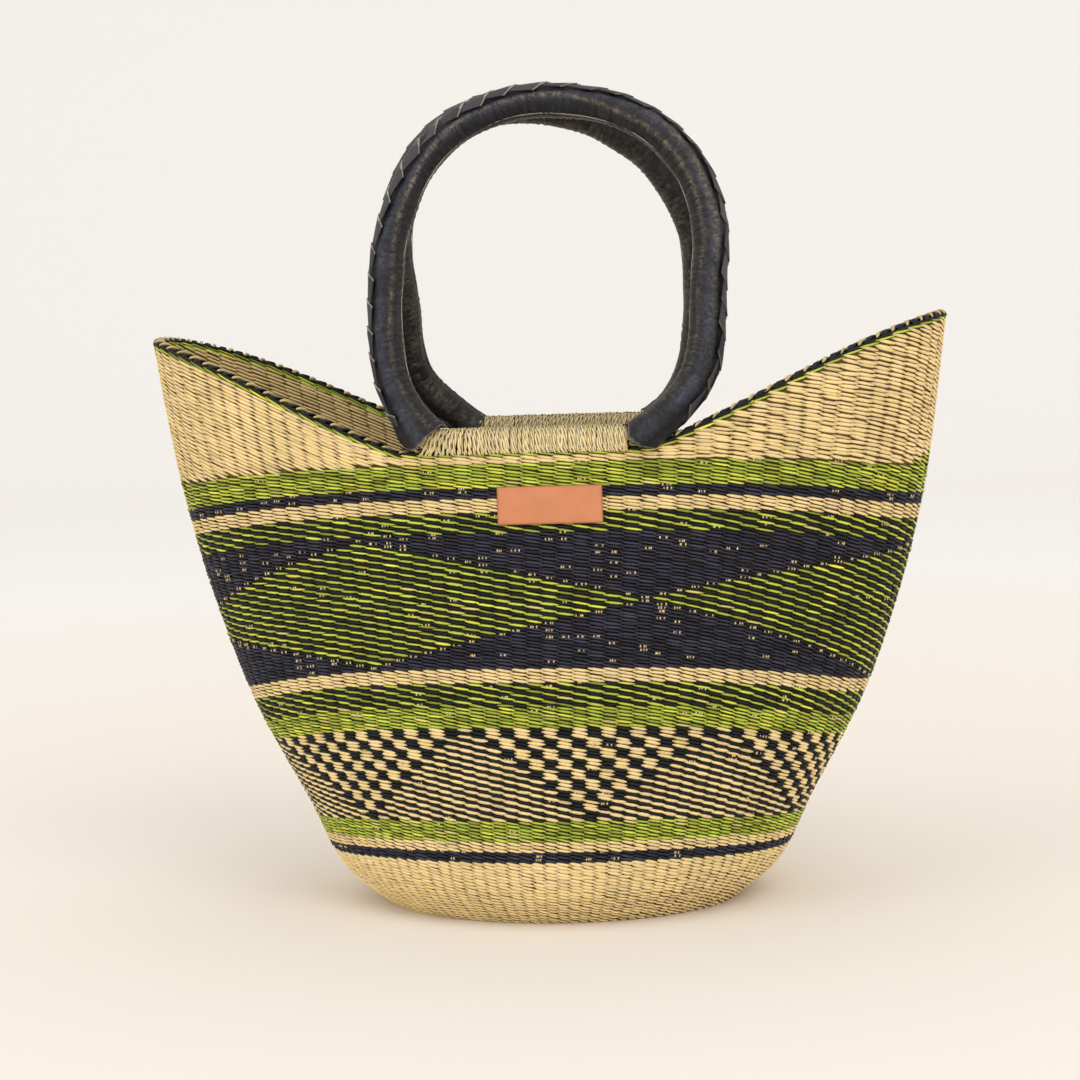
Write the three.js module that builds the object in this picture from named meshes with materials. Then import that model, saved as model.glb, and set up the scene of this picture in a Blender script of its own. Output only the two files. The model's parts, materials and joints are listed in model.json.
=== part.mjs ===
import * as THREE from 'three';

// A straw beach bag: a twined oval basket with two raised wing ends and two ring handles
// lashed to the middle of its rim. +X runs along the bag, +Y to its back, +Z up, millimetres.
// The origin is on the floor under the middle of the base.

// Clearance between pieces that touch
const GAP = 0.3;

// Twined wall: the height of one row of straw and the thickness of the wall
const ROW = 1.99;
const WALL = 5.5;
const BASE_THICKNESS = 5;

// The basket by height: half its length, half its depth, and how far the row woven at that
// height in the middle of a side droops at the ends of the bag
const BODY = [
  { z: 0, length: 108, depth: 82.5, droop: 0 },
  { z: 6, length: 115.5, depth: 88.7, droop: 1 },
  { z: 20, length: 132, depth: 99.7, droop: 3.3 },
  { z: 60, length: 153.5, depth: 101.3, droop: 10.3 },
  { z: 120, length: 185.7, depth: 98.6, droop: 19 },
  { z: 180, length: 207.8, depth: 94.2, droop: 20 },
  { z: 240, length: 223.8, depth: 92, droop: 15.8 },
  { z: 345, length: 239.5, depth: 89.9, droop: 3 },
];
// The plan is an ellipse below and grows squarer between these heights
const SQUARE_FROM = 200;
const SQUARE_TO = 340;
const SQUARENESS = 0.5;

// Woven bands from the floor up: how many rows each has, the straw's colour, and into how
// many steps its height is divided
const BANDS = [
  { name: 'foot_band', rows: 20, colour: 0xd9b679, steps: 3 },
  { name: 'lower_navy_stripe', rows: 3, colour: 0x23243a, steps: 1 },
  { name: 'lower_tan_stripe', rows: 3, colour: 0xe3bd85, steps: 1 },
  { name: 'lower_green_band', rows: 6, colour: 0x7f9a2c, steps: 1 },
  { name: 'check_band', rows: 27, colour: 0x8a7658, steps: 3 },
  { name: 'middle_green_band', rows: 6, colour: 0x7f9a2c, steps: 1 },
  { name: 'lower_striped_band', rows: 7, colour: 0x4b5f2b, steps: 1 },
  { name: 'middle_tan_stripe', rows: 4, colour: 0xe3bd85, steps: 1 },
  { name: 'diamond_band', rows: 39, colour: 0x343a3c, steps: 4 },
  { name: 'upper_striped_band', rows: 6, colour: 0x4b5f2b, steps: 1 },
  { name: 'upper_tan_stripe', rows: 4, colour: 0xe3bd85, steps: 1 },
  { name: 'upper_navy_stripe', rows: 3, colour: 0x23243a, steps: 1 },
  { name: 'upper_green_band', rows: 7, colour: 0x8fab34, steps: 1 },
];
// Natural rows of the wings at the middle of a side, where they are fewest, and the last row
const WING_ROWS = 2;
const RIM_ROWS = 1;
const WING_STEPS = 4;

// The rim lies flat under the handles and rises from there to the wing tips. Its slope where
// it leaves the flat and where it reaches the tip is a share of the mean slope.
const RIM_FLAT = 73;
const WING_RISE = 68.5;
const WING_FIRST_SLOPE = 0.86;
const WING_LAST_SLOPE = 0.55;

// Edge border: its height and thickness in the open, where the leather presses on it, and
// where it is bound into a lashing
const BORDER_HEIGHT = 2.6;
const BORDER_THICKNESS = 6.4;
const PRESSED_HEIGHT = 1.2;
const BOUND_HEIGHT = 1.6;
const BOUND_THICKNESS = 5.2;

// Ring handles: the middle line of the grass core turns up from the lashed bar through these
// arcs, each up to a direction in degrees; the last is half of the round top
const RING_ARCS = [
  { radius: 8, until: 43 },
  { radius: 90, until: 78.2 },
  { radius: 300, until: 90 },
  { radius: 94, until: 180 },
];
const BAR_RADIUS = 3.4;
const LEATHER_RADIUS = 10.3;
const LEATHER_THICKNESS = 1.2;
const LEATHER_SLIT = 3;
const LEATHER_START = 43;
const LEATHER_FLARE = 0.6;
const HANDLE_LEAN = 20;
const HANDLE_TILT = 50;
const BAR_INSET = 1.2;
// A ring isn't quite even: it sways to one side towards its top, stands out further near the
// bar on that side, and has a fuller shoulder between these turns on the other
const HANDLES = [
  { name: 'front_handle', side: -1, shift: 5, sway: 12, shoulder: 7 },
  { name: 'back_handle', side: 1, shift: 0, sway: 8, shoulder: 0 },
];
const RING_FULLNESS = 5;
const FULL_HEIGHT = 100;
const SHOULDER_FROM = 165;
const SHOULDER_TO = 265;

// Lacing thong over the slit of the leather
const STITCHES = 37;
const LACE_WIDTH = 4.4;
const LACE_THICKNESS = 1;
const LACE_LIFT = 0.65;
const LACE_SWING = 2.6;
const STITCH_RETURN = 0.25;

// Straw lashing that binds each handle's bar to the rim
const LASH_LOOPS = 24;
const LASH_PITCH = 4.5;
const LASH_WIDTH = 3.8;
const LASH_THICKNESS = 1.6;
const LASH_CLEARANCE = 0.8;
const LASH_SQUARENESS = 2.6;

// Leather patch on the front, bare
const PATCH_WIDTH = 60.3;
const PATCH_HEIGHT = 21.8;
const PATCH_THICKNESS = 1.6;
const PATCH_X = 15;
const PATCH_Z = 244.5;

// Facets
const END_FACETS = 8;
const FLAT_FACETS = 3;
const CORE_SIDES = 10;
const LEATHER_SIDES = 10;
const ARC_FACETS = [5, 3, 8];
const LACE_SAMPLES = 720;
const LOOP_STEPS = 12;

const DEGREE = Math.PI / 180;
const rowsBelowRim = BANDS.reduce((sum, band) => sum + band.rows, 0);
const bandTop = rowsBelowRim * ROW;
const rimMiddle = (rowsBelowRim + WING_ROWS + RIM_ROWS) * ROW;

// One column of the BODY table at a height: a cubic through the stations, its slope at each
// being the mean of the slopes on either side
function bodyAt(column, z) {
  const last = BODY.length - 2;
  let i = 0;
  while (i < last && z > BODY[i + 1].z) i += 1;
  const rise = (k) => (BODY[k + 1][column] - BODY[k][column]) / (BODY[k + 1].z - BODY[k].z);
  const span = BODY[i + 1].z - BODY[i].z;
  const slope = rise(i);
  const before = i > 0 ? (rise(i - 1) + slope) / 2 : slope;
  const after = i < last ? (rise(i + 1) + slope) / 2 : slope;
  const t = (z - BODY[i].z) / span;
  if (t > 1) return BODY[i + 1][column] + after * (z - BODY[i + 1].z);
  const bend = (before - slope) * t * (1 - t) * (1 - t) + (slope - after) * t * t * (1 - t);
  return BODY[i][column] + slope * span * t + bend * span;
}

function squareness(z) {
  const t = THREE.MathUtils.smoothstep(z, SQUARE_FROM, SQUARE_TO);
  return 2 + SQUARENESS * t;
}

// A point of the basket's plan at an angle round it and a height, drawn in by inset
function wallPoint(angle, z, inset) {
  const power = 2 / squareness(z);
  const cos = Math.cos(angle);
  const sin = Math.sin(angle);
  const x = (bodyAt('length', z) - inset) * Math.sign(cos) * Math.abs(cos) ** power;
  const y = (bodyAt('depth', z) - inset) * Math.sign(sin) * Math.abs(sin) ** power;
  return new THREE.Vector3(x, y, z);
}

// Height round the bag of the row that is woven at rowZ in the middle of a side
function rowHeight(rowZ, angle) {
  return rowZ - bodyAt('droop', rowZ) * Math.abs(Math.cos(angle)) ** 3;
}

// Height of the rim over a distance from the middle of a side
function rimAt(x) {
  const reach = bodyAt('length', rimMiddle + WING_RISE) - RIM_FLAT;
  const t = Math.max(0, (Math.abs(x) - RIM_FLAT) / reach);
  const first = (WING_FIRST_SLOPE - 1) * t * (1 - t) * (1 - t);
  const last = (1 - WING_LAST_SLOPE) * t * t * (1 - t);
  return rimMiddle + WING_RISE * (t + first + last);
}

function rimHeight(angle) {
  let z = rimMiddle;
  for (let pass = 0; pass < 6; pass += 1) z = rimAt(wallPoint(angle, z, 0).x);
  return z;
}

// Angle at which the rim's plan passes a distance from the middle of a side
function rimAngle(x) {
  const share = x / bodyAt('length', rimMiddle);
  return Math.acos(share ** (squareness(rimMiddle) / 2));
}

// Angles of the facets round the bag: even from each tip to the flat of the rim, then even
// lengths along the flat, the same in all four quarters
function facetAngles() {
  const quarter = [];
  for (let i = 0; i < END_FACETS; i += 1) quarter.push((rimAngle(RIM_FLAT) * i) / END_FACETS);
  for (let i = 0; i < FLAT_FACETS; i += 1) quarter.push(rimAngle(RIM_FLAT * (1 - i / FLAT_FACETS)));
  const half = [...quarter, Math.PI / 2, ...quarter.slice(1).reverse().map((a) => Math.PI - a)];
  return [...half, ...half.map((a) => a + Math.PI)];
}

// A closed body through a row of outlines with the same number of points each. A ring of
// outlines joins its last to its first; otherwise both ends are capped.
function loft(outlines, ring, cap) {
  const count = outlines[0].length;
  const faces = [];
  const spans = ring ? outlines.length : outlines.length - 1;
  for (let i = 0; i < spans; i += 1) {
    const a = i * count;
    const b = ((i + 1) % outlines.length) * count;
    for (let j = 0; j < count; j += 1) {
      const k = (j + 1) % count;
      faces.push(a + j, b + j, b + k, a + j, b + k, a + k);
    }
  }
  if (!ring) {
    const end = (outlines.length - 1) * count;
    const clockwise = THREE.ShapeUtils.isClockWise(cap);
    for (const [p, q, r] of THREE.ShapeUtils.triangulateShape(cap, [])) {
      const near = clockwise ? [p, r, q] : [p, q, r];
      faces.push(near[0], near[1], near[2]);
      faces.push(end + near[0], end + near[2], end + near[1]);
    }
  }
  const points = outlines.flat();
  let volume = 0;
  for (let i = 0; i < faces.length; i += 3) {
    const [p, q, r] = [points[faces[i]], points[faces[i + 1]], points[faces[i + 2]]];
    volume += new THREE.Vector3().crossVectors(q, r).dot(p);
  }
  if (volume < 0) faces.reverse();
  const geometry = new THREE.BufferGeometry();
  geometry.setAttribute('position', new THREE.Float32BufferAttribute(points.flatMap((p) => [p.x, p.y, p.z]), 3));
  geometry.setIndex(faces);
  return geometry;
}

function piece(name, geometry, colour, roughness) {
  geometry.computeVertexNormals();
  const mesh = new THREE.Mesh(geometry, new THREE.MeshStandardMaterial({ color: colour, roughness, metalness: 0 }));
  mesh.name = name;
  return mesh;
}

// One woven band: a closed belt of the wall between two row lines
function belt(lower, upper, steps) {
  const outlines = facetAngles().map((angle) => {
    const from = lower(angle);
    const to = upper(angle);
    const heights = Array.from({ length: steps + 1 }, (_, i) => from + ((to - from) * i) / steps);
    const outside = heights.map((z) => wallPoint(angle, z, 0));
    const inside = heights.map((z) => wallPoint(angle, z, WALL));
    return [...outside, ...inside.reverse()];
  });
  return loft(outlines, true);
}

function basePanel() {
  const outline = facetAngles().map((angle) => wallPoint(angle, 0, WALL + GAP));
  const shape = new THREE.Shape(outline.map((p) => new THREE.Vector2(p.x, p.y)));
  return new THREE.ExtrudeGeometry(shape, { depth: BASE_THICKNESS, bevelEnabled: false });
}

function wovenBands() {
  const meshes = [];
  let row = 0;
  for (const band of BANDS) {
    const bottom = row * ROW;
    const top = (row + band.rows) * ROW;
    const lower = row === 0 ? () => 0 : (angle) => rowHeight(bottom, angle) + GAP / 2;
    const upper = (angle) => rowHeight(top, angle) - GAP / 2;
    meshes.push(piece(band.name, belt(lower, upper, band.steps), band.colour, 0.8));
    row += band.rows;
  }
  const green = (angle) => rowHeight(bandTop, angle) + GAP / 2;
  const lastRow = RIM_ROWS * ROW;
  const wing = belt(green, (angle) => rimHeight(angle) - lastRow - GAP / 2, WING_STEPS);
  meshes.push(piece('wing_band', wing, 0xdfba7c, 0.8));
  const rimRow = belt((angle) => rimHeight(angle) - lastRow + GAP / 2, rimHeight, 1);
  meshes.push(piece('rim_green_row', rimRow, 0x7f9a2c, 0.8));
  return meshes;
}

// The straight bar is what the arcs leave of the ring's half width
const ringHalf = RING_ARCS[RING_ARCS.length - 1].radius;
const barHalf = ringHalf - arcSum((from, to) => Math.sin(to) - Math.sin(from));
const ringHeight = ringHalf + arcSum((from, to) => Math.cos(from) - Math.cos(to));

function arcSum(part) {
  return RING_ARCS.slice(0, -1).reduce((sum, { radius, until }, i) => {
    const from = i > 0 ? RING_ARCS[i - 1].until : 0;
    return sum + radius * part(from * DEGREE, until * DEGREE);
  }, 0);
}

// Heights over the flat of the rim: the lashing's straw passes between the wall and the
// border, and the bar lies on the border, high enough for the leather ends to swing clear
const lashLength = LASH_LOOPS * LASH_PITCH;
const boundHalf = (lashLength + LASH_WIDTH) / 2 + GAP;
const lashBottom = GAP;
const borderLift = LASH_THICKNESS + 2 * GAP;
const boundTop = lashBottom + borderLift + BOUND_HEIGHT;
const swingAngle = Math.max(HANDLE_LEAN, HANDLE_TILT - HANDLE_LEAN) * DEGREE;
const leatherReach = leatherAt(LEATHER_START) * Math.hypot(
  Math.cos(LEATHER_START * DEGREE) * Math.cos(swingAngle),
  Math.sin(swingAngle),
) - arcPoint(LEATHER_START).z * Math.cos(swingAngle);
const pressedTop = GAP + PRESSED_HEIGHT;
const barHeight = rimMiddle + Math.max(boundTop + GAP + BAR_RADIUS, pressedTop + GAP + leatherReach);
const handleCentre = bodyAt('depth', rimMiddle) - WALL / 2 - BAR_INSET;

// The ring's path from the end of the straight bar, arc after arc, for a direction in degrees
function arcPoint(turn) {
  let x = barHalf;
  let z = 0;
  let from = 0;
  for (const { radius, until } of RING_ARCS) {
    const to = Math.min(turn, until);
    if (to <= from) break;
    x += radius * (Math.sin(to * DEGREE) - Math.sin(from * DEGREE));
    z += radius * (Math.cos(from * DEGREE) - Math.cos(to * DEGREE));
    from = until;
  }
  return { x, z };
}

// A point on a ring's middle line by how far its direction has turned from the bar, with the
// direction that points out of the ring. Past 180 degrees it comes down the other side.
function ringPoint(turn, { sway, shoulder }) {
  const mirrored = turn > 180;
  const angle = (mirrored ? 360 - turn : turn) * DEGREE;
  const { x, z } = arcPoint(mirrored ? 360 - turn : turn);
  const side = mirrored ? -1 : 1;
  const out = new THREE.Vector3(side * Math.sin(angle), 0, -Math.cos(angle));
  const full = mirrored || z > FULL_HEIGHT ? 0 : Math.sin((Math.PI * z) / FULL_HEIGHT) ** 2;
  const lean = (sway * z) / ringHeight + RING_FULLNESS * full;
  const bulge = THREE.MathUtils.clamp((turn - SHOULDER_FROM) / (SHOULDER_TO - SHOULDER_FROM), 0, 1);
  const at = new THREE.Vector3(side * x + lean, 0, z);
  at.addScaledVector(out, shoulder * Math.sin(Math.PI * bulge) ** 2);
  return { at, out };
}

// Turns at which the leather's outlines stand on both sides of a ring
function leatherTurns() {
  const half = [];
  let from = LEATHER_START;
  RING_ARCS.slice(1).forEach(({ until }, arc) => {
    const count = ARC_FACETS[arc];
    for (let i = 0; i < count; i += 1) half.push(from + ((until - from) * i) / count);
    from = until;
  });
  return [...half, 180, ...half.slice().reverse().map((turn) => 360 - turn)];
}

// How far the leather stands from the ring's middle line: its ends flare
function leatherAt(turn) {
  const fromBar = turn > 180 ? 360 - turn : turn;
  const end = Math.max(0, 1 - (fromBar - LEATHER_START) / LEATHER_START);
  return LEATHER_RADIUS + LEATHER_FLARE * end * end;
}

// A point round the tube of the ring, at an angle from the side that faces out of the ring
function tubePoint(station, angle, radius) {
  const across = new THREE.Vector3(0, Math.sin(angle) * radius, 0);
  return station.at.clone().addScaledVector(station.out, Math.cos(angle) * radius).add(across);
}

const slitAngle = Math.asin(LEATHER_SLIT / 2 / LEATHER_RADIUS);
const leatherStep = (2 * Math.PI - 2 * slitAngle) / LEATHER_SIDES;
const boreRadius = LEATHER_RADIUS - LEATHER_THICKNESS;
const coreRadius = boreRadius * Math.cos(leatherStep / 2) - GAP;

// Grass core: one closed ring, thin where it is lashed and full where leather covers it
function handleCore(shape) {
  const lashedTurn = Math.asin((boundHalf - barHalf) / RING_ARCS[0].radius) / DEGREE;
  const before = [0, lashedTurn, (lashedTurn + LEATHER_START) / 2];
  const stations = [...before, ...leatherTurns(), ...before.slice().reverse().map((turn) => 360 - turn)];
  const outlines = stations.map((turn) => {
    const fromBar = turn > 180 ? 360 - turn : turn;
    const full = THREE.MathUtils.smoothstep(fromBar, before[2], LEATHER_START + 8);
    const radius = THREE.MathUtils.lerp(BAR_RADIUS, coreRadius, full);
    const station = ringPoint(turn, shape);
    return Array.from({ length: CORE_SIDES }, (_, i) => tubePoint(station, (i * 2 * Math.PI) / CORE_SIDES, radius));
  });
  return loft(outlines, true);
}

// Leather sleeve: a strip wrapped round the core, its long edges meeting in a slit on the
// outside of the ring
function handleLeather(shape) {
  const angles = Array.from({ length: LEATHER_SIDES + 1 }, (_, i) => slitAngle + i * leatherStep);
  const around = (radius, make) => [
    ...angles.map((angle) => make(angle, radius)),
    ...angles.slice().reverse().map((angle) => make(angle, radius - LEATHER_THICKNESS)),
  ];
  const flat = (angle, radius) => new THREE.Vector2(Math.cos(angle) * radius, Math.sin(angle) * radius);
  const outlines = leatherTurns().map((turn) => {
    const station = ringPoint(turn, shape);
    return around(leatherAt(turn), (angle, radius) => tubePoint(station, angle, radius));
  });
  return loft(outlines, false, around(LEATHER_RADIUS, flat));
}

// Lacing: one thong that snakes over the slit, a long slant and a short way back per stitch
function handleLacing(shape) {
  const half = Math.asin(LACE_WIDTH / 2 / LEATHER_RADIUS);
  const swing = Math.asin(LACE_SWING / LEATHER_RADIUS);
  const lift = (LEATHER_RADIUS + LACE_LIFT) / (Math.cos(half) * Math.cos(swing)) - LEATHER_RADIUS;
  const corners = [[-half, lift], [half, lift], [half, lift + LACE_THICKNESS], [-half, lift + LACE_THICKNESS]];
  const reach = 360 - 2 * LEATHER_START;
  const turns = Array.from({ length: LACE_SAMPLES + 1 }, (_, i) => LEATHER_START + (reach * i) / LACE_SAMPLES);
  const path = turns.map((turn) => ringPoint(turn, shape).at);
  const along = [0];
  for (let i = 1; i < path.length; i += 1) along.push(along[i - 1] + path[i].distanceTo(path[i - 1]));
  const turnAt = (share) => {
    const wanted = share * along[along.length - 1];
    const i = Math.max(1, along.findIndex((length) => length >= wanted));
    const t = (wanted - along[i - 1]) / (along[i] - along[i - 1]);
    return THREE.MathUtils.lerp(turns[i - 1], turns[i], t);
  };
  const outlines = [];
  for (let i = 1; i < STITCHES; i += 1) {
    for (const [share, side] of [[0, -1], [1 - STITCH_RETURN, 1]]) {
      const turn = turnAt((i + share) / (STITCHES + 1));
      const station = ringPoint(turn, shape);
      const radius = leatherAt(turn);
      outlines.push(corners.map(([angle, out]) => tubePoint(station, angle + side * swing, radius + out)));
    }
  }
  return loft(outlines, false, corners.map(([angle, out]) => new THREE.Vector2(angle * LEATHER_RADIUS, out)));
}

// Edge border round the whole rim. Between the handles it follows the wall; in a lashing it is
// drawn straight, lifted and squeezed; under the leather ends it is pressed flat.
function rimBorder() {
  const outlineAt = (middle, across, bottom, height, thickness) => {
    const half = thickness / 2;
    const chamfer = height * 0.35;
    const corners = [
      [-half + chamfer, 0], [half - chamfer, 0], [half, chamfer],
      [half, height - chamfer], [half - chamfer, height],
      [-half + chamfer, height], [-half, height - chamfer], [-half, chamfer],
    ];
    return corners.map(([side, up]) => new THREE.Vector3(
      middle.x + across.x * side,
      middle.y + across.y * side,
      bottom + up,
    ));
  };
  const angles = facetAngles();
  const outlines = [];
  for (const angle of angles) {
    const z = rimHeight(angle);
    const outside = wallPoint(angle, z, 0);
    const inside = wallPoint(angle, z, WALL);
    const across = outside.clone().sub(inside).normalize();
    const middle = outside.clone().add(inside).multiplyScalar(0.5);
    const nearFlat = RIM_FLAT / END_FACETS;
    if (Math.abs(outside.x) > RIM_FLAT + nearFlat) {
      outlines.push(outlineAt(middle, across, z + GAP, BORDER_HEIGHT, BORDER_THICKNESS));
    } else if (Math.abs(outside.x) > RIM_FLAT - nearFlat) {
      const side = Math.sign(outside.y);
      const flat = boundStations(side).map(({ x, lift, height, thickness }) => {
        const bound = new THREE.Vector3(x, side * handleCentre, 0);
        return outlineAt(bound, new THREE.Vector3(0, side, 0), z + GAP + lift, height, thickness);
      });
      const edge = outlineAt(middle, across, z + GAP, PRESSED_HEIGHT, BORDER_THICKNESS);
      const entering = outside.x * side > 0;
      outlines.push(...(entering ? [edge, ...flat] : [edge]));
    }
  }
  return loft(outlines, true);
}

// Stations of the border in one lashing, in the order in which the rim runs
function boundStations(side) {
  const { shift } = HANDLES.find((handle) => handle.side === side);
  const ramp = boundHalf + borderLift;
  const low = { lift: 0, height: PRESSED_HEIGHT, thickness: BORDER_THICKNESS };
  const high = { lift: borderLift, height: BOUND_HEIGHT, thickness: BOUND_THICKNESS };
  return [[ramp, low], [boundHalf, high], [-boundHalf, high], [-ramp, low]]
    .map(([x, shape]) => ({ x: shift + side * x, ...shape }));
}

// Straw lashing: one flat tube wound round the bar and the border together, with a short
// straight tail down the inside at each end
function lashing(name, side, shift) {
  const top = barHeight + BAR_RADIUS + LASH_CLEARANCE + LASH_THICKNESS;
  const bottom = rimMiddle + lashBottom;
  const middle = (bottom + top) / 2;
  const halfHeight = (top - bottom - LASH_THICKNESS) / 2;
  const halfWidth = BAR_RADIUS + LASH_CLEARANCE + LASH_THICKNESS / 2;
  const power = 2 / LASH_SQUARENESS;
  const swell = (value) => Math.sign(value) * Math.abs(value) ** power;
  const path = [];
  const steps = LASH_LOOPS * LOOP_STEPS;
  for (let i = 0; i <= steps; i += 1) {
    const turn = (i * 2 * Math.PI) / LOOP_STEPS;
    const x = (i / steps - 0.5) * lashLength + shift;
    const y = side * (handleCentre - halfWidth * swell(Math.cos(turn)));
    path.push(new THREE.Vector3(x, y, middle + halfHeight * swell(Math.sin(turn))));
  }
  const slant = (LASH_PITCH * LASH_WIDTH) / (4 * (halfWidth + halfHeight));
  path.unshift(path[0].clone().add(new THREE.Vector3(-slant, 0, -LASH_WIDTH)));
  path.push(path[path.length - 1].clone().add(new THREE.Vector3(slant, 0, -LASH_WIDTH)));
  const section = [[-0.5, -0.5], [0.5, -0.5], [0.5, 0.15], [0, 0.5], [-0.5, 0.15]]
    .map(([across, out]) => new THREE.Vector2(across * LASH_WIDTH, out * LASH_THICKNESS));
  const centre = new THREE.Vector3(0, side * handleCentre, middle);
  const outlines = path.map((point, i) => {
    const ahead = path[Math.min(i + 1, path.length - 1)];
    const behind = path[Math.max(i - 1, 0)];
    const along = ahead.clone().sub(behind).normalize();
    const across = new THREE.Vector3(1, 0, 0);
    across.addScaledVector(along, -along.x).normalize();
    const out = new THREE.Vector3().crossVectors(along, across);
    const away = point.clone().sub(centre);
    if (out.dot(away) < 0) out.negate();
    return section.map((p) => point.clone().addScaledVector(across, p.x).addScaledVector(out, p.y));
  });
  reportLeastGap(name, outlines);
  return loft(outlines, false, section);
}

// Prints the least distance between the points of loops that lie side by side
function reportLeastGap(name, outlines) {
  let least = Infinity;
  const apart = LOOP_STEPS / 2;
  for (let i = 0; i < outlines.length; i += 1) {
    const end = Math.min(outlines.length, i + 2 * LOOP_STEPS);
    for (let j = i + apart; j < end; j += 1) {
      for (const p of outlines[i]) {
        for (const q of outlines[j]) least = Math.min(least, p.distanceTo(q));
      }
    }
  }
  console.log(`${name}: least gap between loops ${least.toFixed(2)} mm`);
}

// Leather patch that follows the wall
function labelPatch() {
  const columns = 6;
  const rows = 2;
  const outlines = [];
  for (let i = 0; i <= columns; i += 1) {
    const x = PATCH_X + PATCH_WIDTH * (i / columns - 0.5);
    const outline = [];
    for (const lift of [GAP, GAP + PATCH_THICKNESS]) {
      const edge = [];
      for (let j = 0; j <= rows; j += 1) {
        const z = PATCH_Z + PATCH_HEIGHT * (j / rows - 0.5);
        const length = bodyAt('length', z) + lift;
        const power = squareness(z);
        const y = (bodyAt('depth', z) + lift) * (1 - Math.abs(x / length) ** power) ** (1 / power);
        edge.push(new THREE.Vector3(x, -y, z));
      }
      outline.push(...(lift > GAP ? edge.reverse() : edge));
    }
    outlines.push(outline);
  }
  const cap = outlines[0].map((p) => new THREE.Vector2(p.y, p.z));
  return loft(outlines, false, cap);
}

// A handle is built upright on its bar, then leans in over the mouth; the back one is turned
// half a turn about the bag's upright axis
function ringHandle({ name, side, shift, ...shape }) {
  const ring = new THREE.Group();
  ring.rotation.x = -HANDLE_LEAN * DEGREE;
  ring.add(piece(`${name}_core`, handleCore(shape), 0xc9a66b, 0.85));
  ring.add(piece(`${name}_leather`, handleLeather(shape), 0x1d1c22, 0.45));
  ring.add(piece(`${name}_lacing`, handleLacing(shape), 0x2b2826, 0.5));
  const place = new THREE.Group();
  place.rotation.z = side < 0 ? 0 : Math.PI;
  place.position.set(shift, side * handleCentre, barHeight);
  place.add(ring);
  return place;
}

const bag = new THREE.Group();
bag.add(piece('base_panel', basePanel(), 0xd9b679, 0.8));
bag.add(...wovenBands());
bag.add(piece('rim_border', rimBorder(), 0x202126, 0.75));
bag.add(piece('front_lashing', lashing('front_lashing', -1, HANDLES[0].shift), 0xe0bf86, 0.8));
bag.add(piece('back_lashing', lashing('back_lashing', 1, HANDLES[1].shift), 0xe0bf86, 0.8));
bag.add(piece('label_patch', labelPatch(), 0xb5704f, 0.6));
bag.add(...HANDLES.map(ringHandle));

export default bag;
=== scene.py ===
"""The looks of a straw beach bag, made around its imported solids.

The wall is twined from single stitches of dyed straw over upright stakes. Grass binds the
handles to the rim, and laced leather covers them. Lengths are millimetres until a mesh is made.
"""

import json
import math

import bpy
import numpy as np
from bpy.props import FloatProperty, FloatVectorProperty, IntProperty, PointerProperty
from mathutils import Matrix, Vector


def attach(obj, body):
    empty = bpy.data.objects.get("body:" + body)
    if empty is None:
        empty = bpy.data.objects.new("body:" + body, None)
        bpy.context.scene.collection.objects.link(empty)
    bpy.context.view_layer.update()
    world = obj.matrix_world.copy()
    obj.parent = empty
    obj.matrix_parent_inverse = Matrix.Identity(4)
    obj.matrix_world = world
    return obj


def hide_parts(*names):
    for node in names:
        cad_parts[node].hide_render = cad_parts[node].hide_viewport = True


bl_info = {
    "name": "Straw Beach Bag",
    "version": (1, 0, 0),
    "blender": (4, 5, 0),
    "location": "3D View > Sidebar > Beach Bag",
    "description": "Twined straw, lashed rim and laced leather handles of a beach bag",
    "category": "Add Mesh",
}

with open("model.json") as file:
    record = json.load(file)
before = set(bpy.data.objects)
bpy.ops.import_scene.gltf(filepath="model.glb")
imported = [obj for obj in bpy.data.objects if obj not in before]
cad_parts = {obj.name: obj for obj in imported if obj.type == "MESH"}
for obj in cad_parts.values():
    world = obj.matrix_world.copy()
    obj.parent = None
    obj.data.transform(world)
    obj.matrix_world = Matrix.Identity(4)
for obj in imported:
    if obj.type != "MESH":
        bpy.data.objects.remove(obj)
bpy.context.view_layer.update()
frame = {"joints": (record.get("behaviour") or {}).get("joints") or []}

MM = 0.001
FRONT, BACK = -1, 1

# Twined wall: height of a row of straw, thickness of the wall, and the plan by height as
# half length, half depth and droop of the row at the ends of the bag
ROW = 1.99
WALL = 5.5
HEIGHTS = np.array([0, 6, 20, 60, 120, 180, 240, 345], float)
LENGTHS = np.array([108, 115.5, 132, 153.5, 185.7, 207.8, 223.8, 239.5])
DEPTHS = np.array([82.5, 88.7, 99.7, 101.3, 98.6, 94.2, 92, 89.9])
DROOPS = np.array([0, 1, 3.3, 10.3, 19, 20, 15.8, 3])
SQUARE_FROM, SQUARE_TO, SQUARENESS = 200, 340, 0.5

# Woven bands from the floor up: rows and the way they are dyed
BANDS = (
    ("foot_band", 20, "natural"),
    ("lower_navy_stripe", 3, "navy"),
    ("lower_tan_stripe", 3, "natural"),
    ("lower_green_band", 6, "green"),
    ("check_band", 27, "check"),
    ("middle_green_band", 6, "green"),
    ("lower_striped_band", 7, "striped"),
    ("middle_tan_stripe", 4, "natural"),
    ("diamond_band", 39, "diamond"),
    ("upper_striped_band", 6, "striped"),
    ("upper_tan_stripe", 4, "natural"),
    ("upper_navy_stripe", 3, "navy"),
    ("upper_green_band", 7, "green"),
)
BAND_ROWS = sum(rows for _, rows, _ in BANDS)
WING_ROWS, RIM_ROWS, TIP_ROWS = 2, 1, 34
RIM_MIDDLE = (BAND_ROWS + WING_ROWS + RIM_ROWS) * ROW
RIM_FLAT, WING_RISE = 73, 68.5
WING_FIRST_SLOPE, WING_LAST_SLOPE = 0.86, 0.55
RIM_PASSES, ROW_PASSES = 8, 3

# Where a stake stands in the cell of its stitch
STAKE_AT = 0.4

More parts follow.
